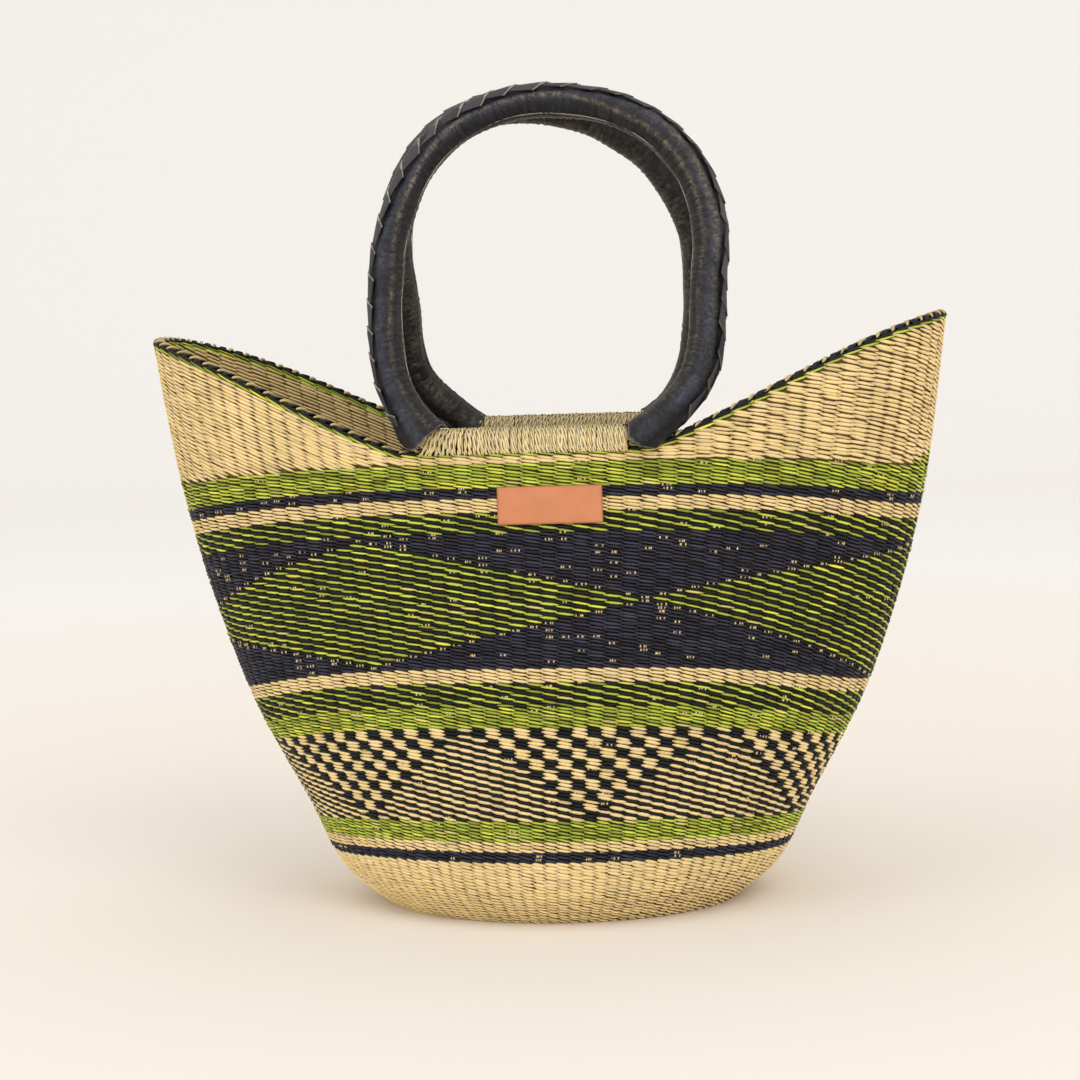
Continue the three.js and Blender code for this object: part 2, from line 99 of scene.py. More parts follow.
# Pattern, in stakes: where a diamond's point and a check triangle's middle lie
DIAMOND_POINT, DIAMOND_PERIOD = 88, 36
CHECK_MIDDLE, CHECK_PERIOD, CHECK_BLOCK = 85, 18, 3

# Ring handles: arcs up from the bar as radius and direction reached in degrees. Each ring's line
# is moved in mm: along the rim, sideways with its height, out at its shoulder between two
# directions, out on its fuller side, and out where it sags beside the bar
RING_ARCS = ((8, 43), (90, 78.2), (300, 90), (94, 180))
BAR_RADIUS = 3.4
LEATHER_START = 43
LEAN = math.radians(20)
HANDLES = {
    "front_handle": {
        "side": FRONT, "shift": 5, "sway": 12, "shoulder": (7, 165, 265), "fullness": 6, "sag": 4,
    },
    "back_handle": {
        "side": BACK, "shift": 0, "sway": 8, "shoulder": (3.5, 105, 205), "fullness": 7, "sag": 1.5,
    },
}
FULL_HEIGHT = 100
SAG_MIDDLE, SAG_WIDTH = 60, 28

NATURAL, NAVY, GREEN, BLACK = range(4)


def srgb(red, green, blue):
    """Linear colour of a screen colour given from 0 to 255."""
    values = np.array([red, green, blue], float) / 255
    low = values / 12.92
    high = ((values + 0.055) / 1.055) ** 2.4
    return tuple(float(v) for v in np.where(values <= 0.04045, low, high))


def colour_property(name, description, screen):
    return FloatVectorProperty(
        name=name, description=description, subtype="COLOR", size=3, min=0, max=1, default=srgb(*screen)
    )


def peak(value, middle, width):
    """Bell curve: 1 at its middle, falling to 1/e at its width."""
    return np.exp(-((value - middle) / width) ** 2)


def smoothstep(value, low, high):
    t = np.clip((value - low) / (high - low), 0, 1)
    return t * t * (3 - 2 * t)


def unit(vectors):
    return vectors / np.maximum(np.linalg.norm(vectors, axis=-1, keepdims=True), 1e-9)


class StrawSettings(bpy.types.PropertyGroup):
    """Sizes and dyes of the twined straw"""

    stakes: IntProperty(name="Stakes", description="Upright stakes round the bag", default=108, min=24)
    reach: FloatProperty(
        name="Stitch reach", description="Length of a stitch, in gaps between stakes", default=1.5, min=1
    )
    slant: FloatProperty(
        name="Slant", description="How far half a stitch falls to the right, in rows", default=0.56
    )
    fullness: FloatProperty(
        name="Fullness", description="Half the height of a stitch, in rows", default=0.58, min=0.3, max=0.8
    )
    thickness: FloatProperty(
        name="Thickness", description="Half the thickness of a stitch in mm", default=0.82, min=0.3
    )
    natural: colour_property("Natural", "Undyed grass", (250, 222, 160))
    navy: colour_property("Navy", "Dark blue dye", (52, 52, 67))
    green: colour_property("Green", "Lime green dye", (180, 198, 72))
    black: colour_property("Black", "Black dye", (26, 29, 30))
    lashing: colour_property("Lashing", "Grass of the lashings", (252, 230, 176))


class LeatherSettings(bpy.types.PropertyGroup):
    """Sizes and colours of the leather"""

    radius: FloatProperty(name="Grip radius", description="Radius of the grip in mm", default=10.1, min=5)
    thickness: FloatProperty(name="Thickness", description="Leather thickness in mm", default=1.2, min=0.5)
    stitches: IntProperty(name="Stitches", description="Lacing stitches on a handle", default=34, min=8)
    black: colour_property("Black", "Dyed leather", (15, 15, 19))
    # Painted sheen: a lighter blue-grey base colour where the leather would catch the light
    sheen: colour_property("Sheen", "Painted sheen of the black leather", (70, 71, 85))
    worn: colour_property("Worn", "Grey brown where the dye is rubbed off", (142, 130, 110))
    raw: colour_property("Raw", "Cut edges and flesh side of the thong", (186, 174, 156))
    thong: colour_property("Thong", "Face of the lacing thong", (66, 65, 70))
    patch: colour_property("Patch", "Smooth tan leather", (206, 134, 95))


class StageSettings(bpy.types.PropertyGroup):
    """Floor, backdrop and light"""

    floor: colour_property("Floor", "Pale floor and backdrop", (247, 240, 231))
    world: FloatProperty(name="World", description="Strength of the light from all round", default=0.9, min=0)
    key: FloatProperty(
        name="Key", description="Power of the large lamp in watts", default=30, min=0, unit="POWER"
    )


# The bag's form


def body_at(values, z):
    """Cubic through the stations by height; its slope at each is the mean of both sides."""
    z = np.asarray(z, float)
    rise = np.diff(values) / np.diff(HEIGHTS)
    last = len(rise) - 1
    i = np.clip(np.searchsorted(HEIGHTS, z, side="right") - 1, 0, last)
    span = HEIGHTS[i + 1] - HEIGHTS[i]
    slope = rise[i]
    before = np.where(i > 0, (rise[np.maximum(i - 1, 0)] + slope) / 2, slope)
    after = np.where(i < last, (rise[np.minimum(i + 1, last)] + slope) / 2, slope)
    t = (z - HEIGHTS[i]) / span
    bend = (before - slope) * t * (1 - t) ** 2 + (slope - after) * t * t * (1 - t)
    beyond = values[-1] + rise[-1] * (z - HEIGHTS[-1])
    return np.where(t > 1, beyond, values[i] + span * (slope * t + bend))


def plan_power(z):
    return 2 + SQUARENESS * smoothstep(z, SQUARE_FROM, SQUARE_TO)


def wall_point(angle, z, inset=0.0):
    """Superellipse plan at an angle and a height: x and y are powers of cosine and sine."""
    power = 2 / plan_power(z)
    cos, sin = np.cos(angle), np.sin(angle)
    x = (body_at(LENGTHS, z) - inset) * np.sign(cos) * np.abs(cos) ** power
    y = (body_at(DEPTHS, z) - inset) * np.sign(sin) * np.abs(sin) ** power
    return np.stack(np.broadcast_arrays(x, y, z), -1)


class GirthTable:
    """Plan angle by height and share of the girth, so that stakes stand evenly round the bag."""

    LEVELS = np.linspace(-4, 352, 90)
    SHARES = np.linspace(0, 1, 1441)

    def __init__(self):
        angles = np.linspace(0, 2 * math.pi, 5761)
        self.angle = np.empty((len(self.LEVELS), len(self.SHARES)))
        for i, z in enumerate(self.LEVELS):
            points = wall_point(angles, np.full_like(angles, z))
            run = np.concatenate([[0], np.cumsum(np.linalg.norm(np.diff(points, axis=0), axis=1))])
            self.angle[i] = np.interp(self.SHARES, run / run[-1], angles)

    def at(self, share, z):
        """Bilinear look-up; whole turns of the share are kept."""
        turns = np.floor(share)
        s = (share - turns) * (len(self.SHARES) - 1)
        h = np.clip((z - self.LEVELS[0]) / (self.LEVELS[1] - self.LEVELS[0]), 0, len(self.LEVELS) - 1.001)
        i, j = h.astype(int), np.minimum(s.astype(int), len(self.SHARES) - 2)
        a, b = h - i, s - j
        low = self.angle[i, j] * (1 - b) + self.angle[i, j + 1] * b
        high = self.angle[i + 1, j] * (1 - b) + self.angle[i + 1, j + 1] * b
        return low * (1 - a) + high * a + turns * 2 * math.pi


girth = GirthTable()


def on_wall(share, z):
    share, z = np.broadcast_arrays(np.asarray(share, float), np.asarray(z, float))
    return wall_point(girth.at(share, z), z)


def wall_frame(share, z, lift):
    """Point at a lift over the wall and the wall's outward normal, from central differences."""
    share, z = np.broadcast_arrays(np.asarray(share, float), np.asarray(z, float))
    small_share, small_z = 4e-4, 0.5
    round_it = on_wall(share + small_share, z) - on_wall(share - small_share, z)
    up = on_wall(share, z + small_z) - on_wall(share, z - small_z)
    normal = unit(np.cross(round_it, up))
    return on_wall(share, z) + normal * np.asarray(lift, float)[..., None], normal


def rim_at(x):
    """Height of the rim over a distance from the middle: flat, then a cubic up to the tip."""
    reach = body_at(LENGTHS, RIM_MIDDLE + WING_RISE) - RIM_FLAT
    t = np.maximum(0, (np.abs(x) - RIM_FLAT) / reach)
    first = (WING_FIRST_SLOPE - 1) * t * (1 - t) ** 2
    last = (1 - WING_LAST_SLOPE) * t * t * (1 - t)
    return RIM_MIDDLE + WING_RISE * (t + first + last)


def rim_table():
    """Height of the rim by share of the girth, found by passes that each use the last height."""
    shares = np.linspace(0, 1, 4321)
    z = np.full_like(shares, RIM_MIDDLE)
    for _ in range(RIM_PASSES):
        z = rim_at(on_wall(shares, z)[:, 0])
    return shares, z


RIM_TABLE = rim_table()


def rim_height(share):
    return np.interp(np.mod(share, 1), *RIM_TABLE)


def band_height(share, level):
    """Height of a row line, in rows from the floor: it droops with the cube of the cosine."""
    middle = np.asarray(level, float) * ROW
    share, middle = np.broadcast_arrays(np.asarray(share, float), middle)
    z = middle
    for _ in range(ROW_PASSES):
        z = middle - body_at(DROOPS, middle) * np.abs(np.cos(girth.at(share, z))) ** 3
    return z


def wing_height(share, level):
    """Height of a line, in rows below the rim's own row; rows are taller towards the tips."""
    rim = rim_height(share)
    tip_pitch = (RIM_MIDDLE + WING_RISE - RIM_ROWS * ROW - band_height(0.0, BAND_ROWS)) / TIP_ROWS
    pitch = ROW + (tip_pitch - ROW) * (rim - RIM_MIDDLE) / WING_RISE
    return rim - RIM_ROWS * ROW - level * pitch


# Dyes

BRIGHTEST, DARKEST = 0.96, 0.004

# By dye: how far stitches differ in lightness, and how deep the painted shade in the gaps beside them is
SPREADS = np.array([0.09, 0.38, 0.25, 0.2])
PAINTED_GAP_SHADES = np.array([0.74, 1.4, 1.45, 1.1])

WARMER = np.array([0.0, 0.0, -0.05])
YELLOWER = np.array([0.5, 0.24, 0.1])
PALE_SHARE = 0.035


def no_brighter(colours):
    """Colours scaled down as a whole where a channel would pass the brightest value."""
    top = colours.max(-1, keepdims=True)
    return colours / np.maximum(top / BRIGHTEST, 1)


def distance_in_period(stake, middle, period):
    return np.abs((stake - middle + period // 2) % period - period // 2)


def dye_of(style, row, stake, rows, first_row):
    """Which dye a stitch has, from its band's style, its row in the band and its stake."""
    whole = row + first_row
    turn = (stake + whole) % 2
    if style == "check":
        block = (rows - 1 - row) // CHECK_BLOCK
        side = distance_in_period(stake, CHECK_MIDDLE, CHECK_PERIOD)
        checks = np.where((stake - CHECK_MIDDLE + block) % 2 == 0, BLACK, NATURAL)
        stripes = np.where(turn == 0, NATURAL, BLACK)
        return np.where(side <= CHECK_PERIOD // 2 - 1 - block, checks, stripes)
    if style == "diamond":
        half = DIAMOND_PERIOD // 2
        side = distance_in_period(stake, DIAMOND_POINT + half, DIAMOND_PERIOD)
        inside = np.abs(row - rows // 2) + side <= half
        return np.where(inside, np.where(turn == 0, GREEN, BLACK), NAVY)
    if style == "striped":
        return np.where(turn == 0, GREEN, BLACK)
    plain = {"natural": NATURAL, "navy": NAVY, "green": GREEN}[style]
    return np.full(np.shape(whole + stake), plain)


def tints(dyes, rng):
    """Colour of each stitch: its dye, some lighter or darker, green also yellower or undyed."""
    straw = bpy.context.scene.bag_straw
    table = np.array([straw.natural, straw.navy, straw.green, straw.black])
    colours = table[dyes]
    shade = 1 + SPREADS[dyes] * rng.standard_normal(dyes.shape)
    colours = colours * np.clip(shade, 0.55, 1.5)[..., None]
    warm = rng.standard_normal(dyes.shape)[..., None]
    colours = colours * (1 + warm * WARMER)
    green = (dyes == GREEN)[..., None]
    yellow = green * np.clip(rng.standard_normal(dyes.shape) * 0.5, 0, 1)[..., None]
    colours = colours * (1 + yellow * YELLOWER)
    pale = green * (rng.random(dyes.shape) < PALE_SHARE)[..., None]
    colours = np.where(pale, 0.5 * colours + 0.5 * np.array(straw.natural), colours)
    return no_brighter(np.maximum(colours, DARKEST))


# Meshes


def make_piece(name, points, faces, places, material, body, nodes, tint=None, fibre=None):
    """A mesh object in metres from points and face arrays, with its place in the bake's square."""
    mesh = bpy.data.meshes.new(name)
    sizes = np.concatenate([np.full(len(f), f.shape[1]) for f in faces])
    corners = np.concatenate([f.ravel() for f in faces])
    mesh.vertices.add(len(points))
    mesh.vertices.foreach_set("co", (points * MM).astype(np.float32).ravel())
    mesh.loops.add(len(corners))
    mesh.loops.foreach_set("vertex_index", corners.astype(np.int32))
    mesh.polygons.add(len(sizes))
    starts = np.concatenate([[0], np.cumsum(sizes)[:-1]])
    mesh.polygons.foreach_set("loop_start", starts.astype(np.int32))
    mesh.polygons.foreach_set("use_smooth", np.ones(len(sizes), bool))
    layer = mesh.uv_layers.new(name="OFBake")
    flat = np.concatenate([place.reshape(-1, 2) for place in places])
    layer.data.foreach_set("uv", flat.astype(np.float32).ravel())
    if tint is not None:
        rgba = np.zeros((len(points), 4))
        rgba[:, : tint.shape[1]] = tint
        data = mesh.attributes.new("tint", "FLOAT_COLOR", "POINT").data
        data.foreach_set("color", rgba.astype(np.float32).ravel())
    if fibre is not None:
        data = mesh.attributes.new("fibre", "FLOAT_VECTOR", "POINT").data
        data.foreach_set("vector", fibre.astype(np.float32).ravel())
    mesh.update(calc_edges=True)
    mesh.materials.append(material)
    piece = bpy.data.objects.new(name, mesh)
    bpy.context.scene.collection.objects.link(piece)
    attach(piece, body)
    if nodes:
        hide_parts(*nodes)
    return piece


class Bundle:
    """Closed strands of straw, gathered into one mesh."""

    MARGIN = 0.06
    STRETCH = 0.07
    EDGE_DEPTH = 0.69
    FIBRE_SPREAD = 60
    LOWEST = 0.05

    def __init__(self, seed):
        self.rng = np.random.default_rng(seed)
        self.points, self.tints, self.fibres = [], [], []
        self.faces, self.places, self.owners = [], [], []
        self.start = 0
        self.count = 0

    def add(self, path, outward, half_width, half_thickness, sides, tint, gap=1.0):
        """Strands along paths (n, m, 3) with an oval section that closes to a point at both ends.

        The section is outward times sine plus sideways times cosine, where sideways is square
        to the path and to outward. The first and last stations are the points. The tint's
        fourth channel is the depth of painted shade: from 0 on the crest it grows to the last
        argument on the sides, and the material darkens the sides by it.
        """
        count, stations = path.shape[:2]
        along = unit(np.gradient(path, axis=1))
        outward = unit(outward - along * np.sum(outward * along, -1, keepdims=True))
        sideways = np.cross(outward, along)
        angle = math.pi / 2 + 2 * math.pi * np.arange(sides) / sides
        width = np.broadcast_to(half_width, (count, stations))[:, 1:-1, None] * np.cos(angle)
        thick = np.broadcast_to(half_thickness, (count, stations))[:, 1:-1, None] * np.sin(angle)
        rings = path[:, 1:-1, None] + sideways[:, 1:-1, None] * width[..., None]
        rings = rings + outward[:, 1:-1, None] * thick[..., None]
        steps = np.linalg.norm(np.diff(path, axis=1), axis=-1)
        length = np.concatenate([np.zeros((count, 1)), np.cumsum(steps, 1)], 1)
        tint = np.broadcast_to(tint if tint.ndim == 3 else tint[:, None], (count, stations, 3))
        depth = gap * np.clip((1 - np.sin(angle)) / self.EDGE_DEPTH, 0, 1)
        self.add_rings(path[:, [0, -1]], rings, length, np.stack([width, thick], -1), tint,
                       np.broadcast_to(depth, rings.shape[:-1]))

    def add_rings(self, ends, rings, length, section, tint, depth):
        """Closed shapes (n) of rings (stations - 2, sides) between two end points.

        length and tint are given per station, section and depth per point of a ring.
        """
        count, inner, sides = rings.shape[:3]
        self.points.append(self._joined(ends, rings))
        run = length * self.STRETCH + self.FIBRE_SPREAD * self.rng.random((count, 1))
        along = np.broadcast_to(run[:, 1:-1, None, None], section.shape[:-1] + (1,))
        middle = np.concatenate([along, section], -1)
        tips = np.zeros((count, 2, 3))
        tips[..., 0] = run[:, [0, -1]]
        self.fibres.append(self._joined(tips, middle))
        if tint.ndim == 3:
            tint = np.broadcast_to(tint[:, :, None], (count, inner + 2, sides, 3))
        middle = np.concatenate([tint[:, 1:-1], depth[..., None]], -1)
        tips = np.concatenate([tint[:, [0, -1], 0], np.zeros((count, 2, 1))], -1)
        self.tints.append(self._joined(tips, middle))
        self._add_faces(count, inner + 2, sides)

    def _joined(self, ends, rings):
        """Values of the first end, then of each ring in turn, then of the last end."""
        count, width = len(rings), rings.shape[-1]
        whole = [ends[:, :1], rings.reshape(count, -1, width), ends[:, 1:]]
        return np.concatenate(whole, 1).reshape(-1, width)

    def _add_faces(self, count, stations, sides):
        """Quads between rings and a fan at each end, with their cells' corners."""
        rings = stations - 2
        each = rings * sides + 2
        k = np.arange(sides)
        after = (k + 1) % sides
        ring = 1 + np.arange(rings - 1)[:, None] * sides
        quads = np.stack([ring + k, ring + after, ring + sides + after, ring + sides + k], -1)
        last = 1 + (rings - 1) * sides
        start_fan = np.stack([np.zeros(sides, int), 1 + after, 1 + k], -1)
        end_fan = np.stack([np.full(sides, each - 1), last + k, last + after], -1)
        fans = np.concatenate([start_fan, end_fan])
        first = self.start + each * np.arange(count)
        here = np.broadcast_to(np.arange(1, rings)[:, None], (rings - 1, sides))
        low = np.broadcast_to(k, here.shape)
        quad_run = np.stack([here, here, here + 1, here + 1], -1) / (stations - 1)
        quad_round = np.stack([low, low + 1, low + 1, low], -1) / sides
        fan_run = np.repeat([[0, 1, 1], [stations - 1, rings, rings]], sides, 0) / (stations - 1)
        start_round = np.stack([k + 0.5, k + 1, k], -1)
        end_round = np.stack([k + 0.5, k, k + 1], -1)
        fan_round = np.concatenate([start_round, end_round]) / sides
        owner = self.count + np.arange(count)
        quads = quads.reshape(-1, 4)
        for shape, run, turn in ((quads, quad_run, quad_round), (fans, fan_run, fan_round)):
            corners = shape.shape[1]
            place = np.stack([run, turn], -1).reshape(shape.shape + (2,))
            self.faces.append((first[:, None, None] + shape).reshape(-1, corners))
            self.places.append(np.broadcast_to(place, (count,) + place.shape).reshape(-1, corners, 2))
            self.owners.append(np.repeat(owner, len(shape)))
        self.start += each * count
        self.count += count

    def finish(self, name, material, body, nodes, slot):
        """Lay each strand's cell out in the bake's square, press what would sink flat, and mesh."""
        grid = math.ceil(math.sqrt(self.count))
        places = []
        for place, owner in zip(self.places, self.owners):
            cell = np.stack([owner % grid, owner // grid], -1)[:, None]
            places.append((cell + self.MARGIN + (1 - 2 * self.MARGIN) * place) / grid)
        points = np.concatenate(self.points)
        points[:, 2] = np.maximum(points[:, 2], self.LOWEST)
        return make_piece(
            name, points, self.faces, places, material, body, nodes,
            tint=np.concatenate(self.tints), fibre=np.concatenate(self.fibres),
        )


def grid_faces(rows, columns, first=0, wrap=True):
    """Quads of a grid of points, row by row; wrap joins each row's end to its start."""
    spans = columns if wrap else columns - 1
    i, j = np.meshgrid(np.arange(rows - 1), np.arange(spans), indexing="ij")
    after = (j + 1) % columns
    low, high = first + i * columns, first + (i + 1) * columns
    return np.stack([low + j, low + after, high + after, high + j], -1).reshape(-1, 4)


def grid_places(rows, columns, box=(0.0, 0.0, 1.0, 1.0)):
    """Each quad of a wrapped grid laid out flat in a box of the bake's square."""
    i, j = np.meshgrid(np.arange(rows - 1), np.arange(columns), indexing="ij")
    run = np.stack([j, j + 1, j + 1, j], -1) / columns
    rise = np.stack([i, i, i + 1, i + 1], -1) / (rows - 1)
    left, low, right, high = box
    return np.stack([left + (right - left) * run, low + (high - low) * rise], -1).reshape(-1, 4, 2)


# Materials


def node_group(name, inputs, outputs):
    """An empty shader node group with its named sockets."""
    group = bpy.data.node_groups.new(name, "ShaderNodeTree")
    for label, kind, value in inputs:
        socket = group.interface.new_socket(name=label, in_out="INPUT", socket_type=kind)
        if value is not None:
            socket.default_value = value
    for label, kind in outputs:
        group.interface.new_socket(name=label, in_out="OUTPUT", socket_type=kind)
    return group


class Nodes:
    """Short ways to add and join shader nodes."""

    def __init__(self, tree):
        self.tree = tree

    def add(self, kind, **values):
        node = self.tree.nodes.new(kind)
        for key, value in values.items():
            setattr(node, key, value)
        return node

    def join(self, source, target):
        self.tree.links.new(source, target)

    def place(self):
        return self.add("ShaderNodeTexCoord").outputs["Object"]

    def attribute(self, name):
        return self.add("ShaderNodeAttribute", attribute_name=name).outputs

    def effect(self, group, values=()):
        """A node group in use, with values for some of its named inputs."""
        node = self.add("ShaderNodeGroup", node_tree=group)
        for label, value in values:
            node.inputs[label].default_value = value
        return node

    def relief(self, height, strength, distance):
        """Bump from a height; the distance is in metres."""
        bump = self.add("ShaderNodeBump")
        bump.inputs["Strength"].default_value = strength
        bump.inputs["Distance"].default_value = distance
        self.join(height, bump.inputs["Height"])
        return bump.outputs["Normal"]

    def noise(self, vector, scale, detail=2.0, rough=0.5):
        node = self.add("ShaderNodeTexNoise")
        node.inputs["Scale"].default_value = scale
        node.inputs["Detail"].default_value = detail
        node.inputs["Roughness"].default_value = rough
        self.join(vector, node.inputs["Vector"])
        return node.outputs["Fac"]

    def remap(self, value, low, high, to_low=0.0, to_high=1.0):
        node = self.add("ShaderNodeMapRange", clamp=True)
        for socket, number in zip(("From Min", "From Max", "To Min", "To Max"), (low, high, to_low, to_high)):
            node.inputs[socket].default_value = number
        self.join(value, node.inputs["Value"])
        return node.outputs["Result"]

    def math(self, operation, first, second):
        node = self.add("ShaderNodeMath", operation=operation)
        for socket, value in zip(node.inputs, (first, second)):
            if isinstance(value, (int, float)):
                socket.default_value = value
            else:
                self.join(value, socket)
        return node.outputs[0]

    def mix(self, share, first, second, blend="MIX"):
        node = self.add("ShaderNodeMix", data_type="RGBA", blend_type=blend)
        for socket, value in zip((node.inputs[0], node.inputs[6], node.inputs[7]), (share, first, second)):
            if isinstance(value, (int, float)):
                socket.default_value = value
            elif isinstance(value, (tuple, list)):
                socket.default_value = (*value, 1)
            else:
                self.join(value, socket)
        return node.outputs[2]


# Painted shade: brown that the sides of a strand are multiplied by, the more the deeper they lie between
# strands
PAINTED_VALLEY_SHADE = (0.16, 0.11, 0.06)


def new_material(name, gloss):
    """A material, its nodes and its shader, whose specular level is the gloss."""
    material = bpy.data.materials.new(name)
    material.use_nodes = True
    n = Nodes(material.node_tree)
    shader = n.tree.nodes["Principled BSDF"]
    shader.inputs["Specular IOR Level"].default_value = gloss
    return material, n, shader.inputs


def fibre_group(name):
    """Fine lines along a strand, painted shade in dark brown on its sides by its depth, and soft patches over
    the bag.
    """
    group = node_group(
        name,
        [("Tint", "NodeSocketColor", None), ("Fibre", "NodeSocketVector", None),
         ("Depth", "NodeSocketFloat", 0.0), ("Lines", "NodeSocketFloat", 1.0)],
        [("Color", "NodeSocketColor"), ("Roughness", "NodeSocketFloat"), ("Height", "NodeSocketFloat")],
    )
    n = Nodes(group)
    source = n.add("NodeGroupInput")
    target = n.add("NodeGroupOutput")
    line = n.noise(source.outputs["Fibre"], 3.4, 3.0, 0.6)
    patch = n.noise(n.place(), 34.0, 2.0)
    shade = n.remap(line, 0.3, 0.72, 0.8, 1.14)
    cloud = n.remap(patch, 0.3, 0.7, 0.93, 1.05)
    factor = n.math("MULTIPLY", shade, cloud)
    grey = n.add("ShaderNodeCombineColor")
    for socket in grey.inputs[:3]:
        n.join(factor, socket)
    lined = n.mix(source.outputs["Lines"], source.outputs["Tint"], grey.outputs[0], "MULTIPLY")
    # Painted shade: the sides darken towards the brown by their depth
    painted_valley_shade = n.remap(source.outputs["Depth"], 0.45, 1.0)
    n.join(n.mix(painted_valley_shade, lined, PAINTED_VALLEY_SHADE, "MULTIPLY"), target.inputs["Color"])
    n.join(n.remap(line, 0.3, 0.7, 0.62, 0.46), target.inputs["Roughness"])
    n.join(line, target.inputs["Height"])
    return group


def straw_material(name, group, lines=1.0, relief=0.00012):
    """Dyed straw: the stitch's own tint, with its painted shade, and fibre lines in colour, gloss and relief.
    """
    material, n, shader = new_material(name, 0.22)
    tint = n.attribute("tint")
    look = n.effect(group, [("Lines", lines)])
    n.join(tint["Color"], look.inputs["Tint"])
    n.join(tint["Alpha"], look.inputs["Depth"])
    n.join(n.attribute("fibre")["Vector"], look.inputs["Fibre"])
    n.join(look.outputs["Color"], shader["Base Color"])
    n.join(look.outputs["Roughness"], shader["Roughness"])
    n.join(n.relief(look.outputs["Height"], 0.5, relief), shader["Normal"])
    return material


def grain_group(name):
    """Leather grain: pores and fine creases in Object coordinates, in metres."""
    group = node_group(
        name,
        [("Pore Scale", "NodeSocketFloat", 900.0), ("Crease Scale", "NodeSocketFloat", 260.0)],
        [("Height", "NodeSocketFloat"), ("Cloud", "NodeSocketFloat"), ("Speckle", "NodeSocketFloat")],
    )
    n = Nodes(group)
    source = n.add("NodeGroupInput")
    target = n.add("NodeGroupOutput")
    place = n.place()
    pores = n.add("ShaderNodeTexVoronoi", feature="DISTANCE_TO_EDGE")
    n.join(place, pores.inputs["Vector"])
    n.join(source.outputs["Pore Scale"], pores.inputs["Scale"])
    crease = n.add("ShaderNodeTexNoise")
    crease.inputs["Detail"].default_value = 4.0
    n.join(place, crease.inputs["Vector"])
    n.join(source.outputs["Crease Scale"], crease.inputs["Scale"])
    edge = n.remap(pores.outputs["Distance"], 0.0, 0.25)
    n.join(n.math("ADD", n.math("MULTIPLY", edge, 0.35), crease.outputs["Fac"]), target.inputs["Height"])
    n.join(n.noise(place, 70.0, 3.0), target.inputs["Cloud"])
    n.join(n.noise(place, 520.0, 3.0, 0.65), target.inputs["Speckle"])
    return group


def leather_material(name, group):
    """Black dyed leather: painted blue-grey sheen in clouds, brown speckles where the wear mask says."""
    settings = bpy.context.scene.bag_leather
    material, n, shader = new_material(name, 0.27)
    look = n.effect(group).outputs
    masks = n.add("ShaderNodeSeparateColor")
    n.join(n.attribute("tint")["Color"], masks.inputs[0])
    sheen, worn, bare = masks.outputs
    clouds = n.math("MULTIPLY", n.remap(look["Cloud"], 0.35, 0.65, 0.3, 1.0),
                    n.remap(look["Speckle"], 0.35, 0.65, 0.35, 1.25))
    base = n.mix(n.math("MULTIPLY", sheen, clouds), tuple(settings.black), tuple(settings.sheen))
    spot = n.noise(n.place(), 150.0, 3.0, 0.6)
    ticks = n.remap(n.noise(n.attribute("fibre")["Vector"], 1.0, 2.0), 0.4, 0.62, 0.3, 1.0)
    ticks = n.math("MULTIPLY", ticks, n.remap(spot, 0.4, 0.62, 0.35, 1.0))
    ticks = n.math("MULTIPLY", ticks, n.remap(look["Speckle"], 0.34, 0.56, 0.1, 1.0))
    base = n.mix(n.math("MULTIPLY", worn, ticks), base, tuple(settings.worn))
    n.join(n.mix(bare, base, tuple(settings.raw)), shader["Base Color"])
    n.join(n.remap(look["Speckle"], 0.3, 0.7, 0.27, 0.44), shader["Roughness"])
    n.join(n.relief(look["Height"], 0.7, 0.0009), shader["Normal"])
    return material


def patch_material(name, group):
    """Smooth tan leather with a faint grain and slightly darker cut edges."""
    tan = tuple(bpy.context.scene.bag_leather.patch)
    material, n, shader = new_material(name, 0.25)
    look = n.effect(group, [("Pore Scale", 1500.0), ("Crease Scale", 500.0)]).outputs
    dark = tuple(0.62 * c for c in tan)
    light = tuple(min(1, 1.12 * c) for c in tan)
    base = n.mix(n.remap(look["Cloud"], 0.3, 0.7), tan, light)
    n.join(n.mix(n.attribute("tint")["Fac"], base, dark), shader["Base Color"])
    n.join(n.remap(look["Speckle"], 0.3, 0.7, 0.5, 0.62), shader["Roughness"])
    n.join(n.relief(look["Height"], 0.3, 0.00012), shader["Normal"])
    return material


def group_of(name, make):
    """The node group of that name, made once."""
    return bpy.data.node_groups.get(name) or make(name)


def material_of(name, make, effect, *values):
    """The material of that name, made once, with its effect's node group."""
    return bpy.data.materials.get(name) or make(name, group_of(*effect), *values)


FIBRE = ("Straw Fibre", fibre_group)
GRAIN = ("Leather Grain", grain_group)


def straw():
    return material_of("twined_straw", straw_material, FIBRE)


def leather():
    return material_of("black_leather", leather_material, GRAIN)


# Twined stitches

OUTER_STATIONS = np.array([-1, -0.72, -0.3, 0.3, 0.72, 1])
INNER_STATIONS = np.array([-1, -0.5, 0.5, 1])
# Painted shade: the inside stitches are darker as a whole
INSIDE_PAINTED_SHADE = 0.9

# Middle line of a stitch in mm: how deep its ends tuck in, and its crest's rise from there
TUCK, CREST = -1.15, 1.1
THINNEST = 0.3

# In the wings: how much more a half stitch falls in mm, and from which x on it does in full
WING_FALL, WING_FALL_FROM = 1.9, 130


def all_stitches(rows, stakes_count):
    """Row and stake of every stitch of a band, row by row."""
    row, stake = np.meshgrid(np.arange(rows), np.arange(stakes_count), indexing="ij")
    return row.ravel(), stake.ravel()


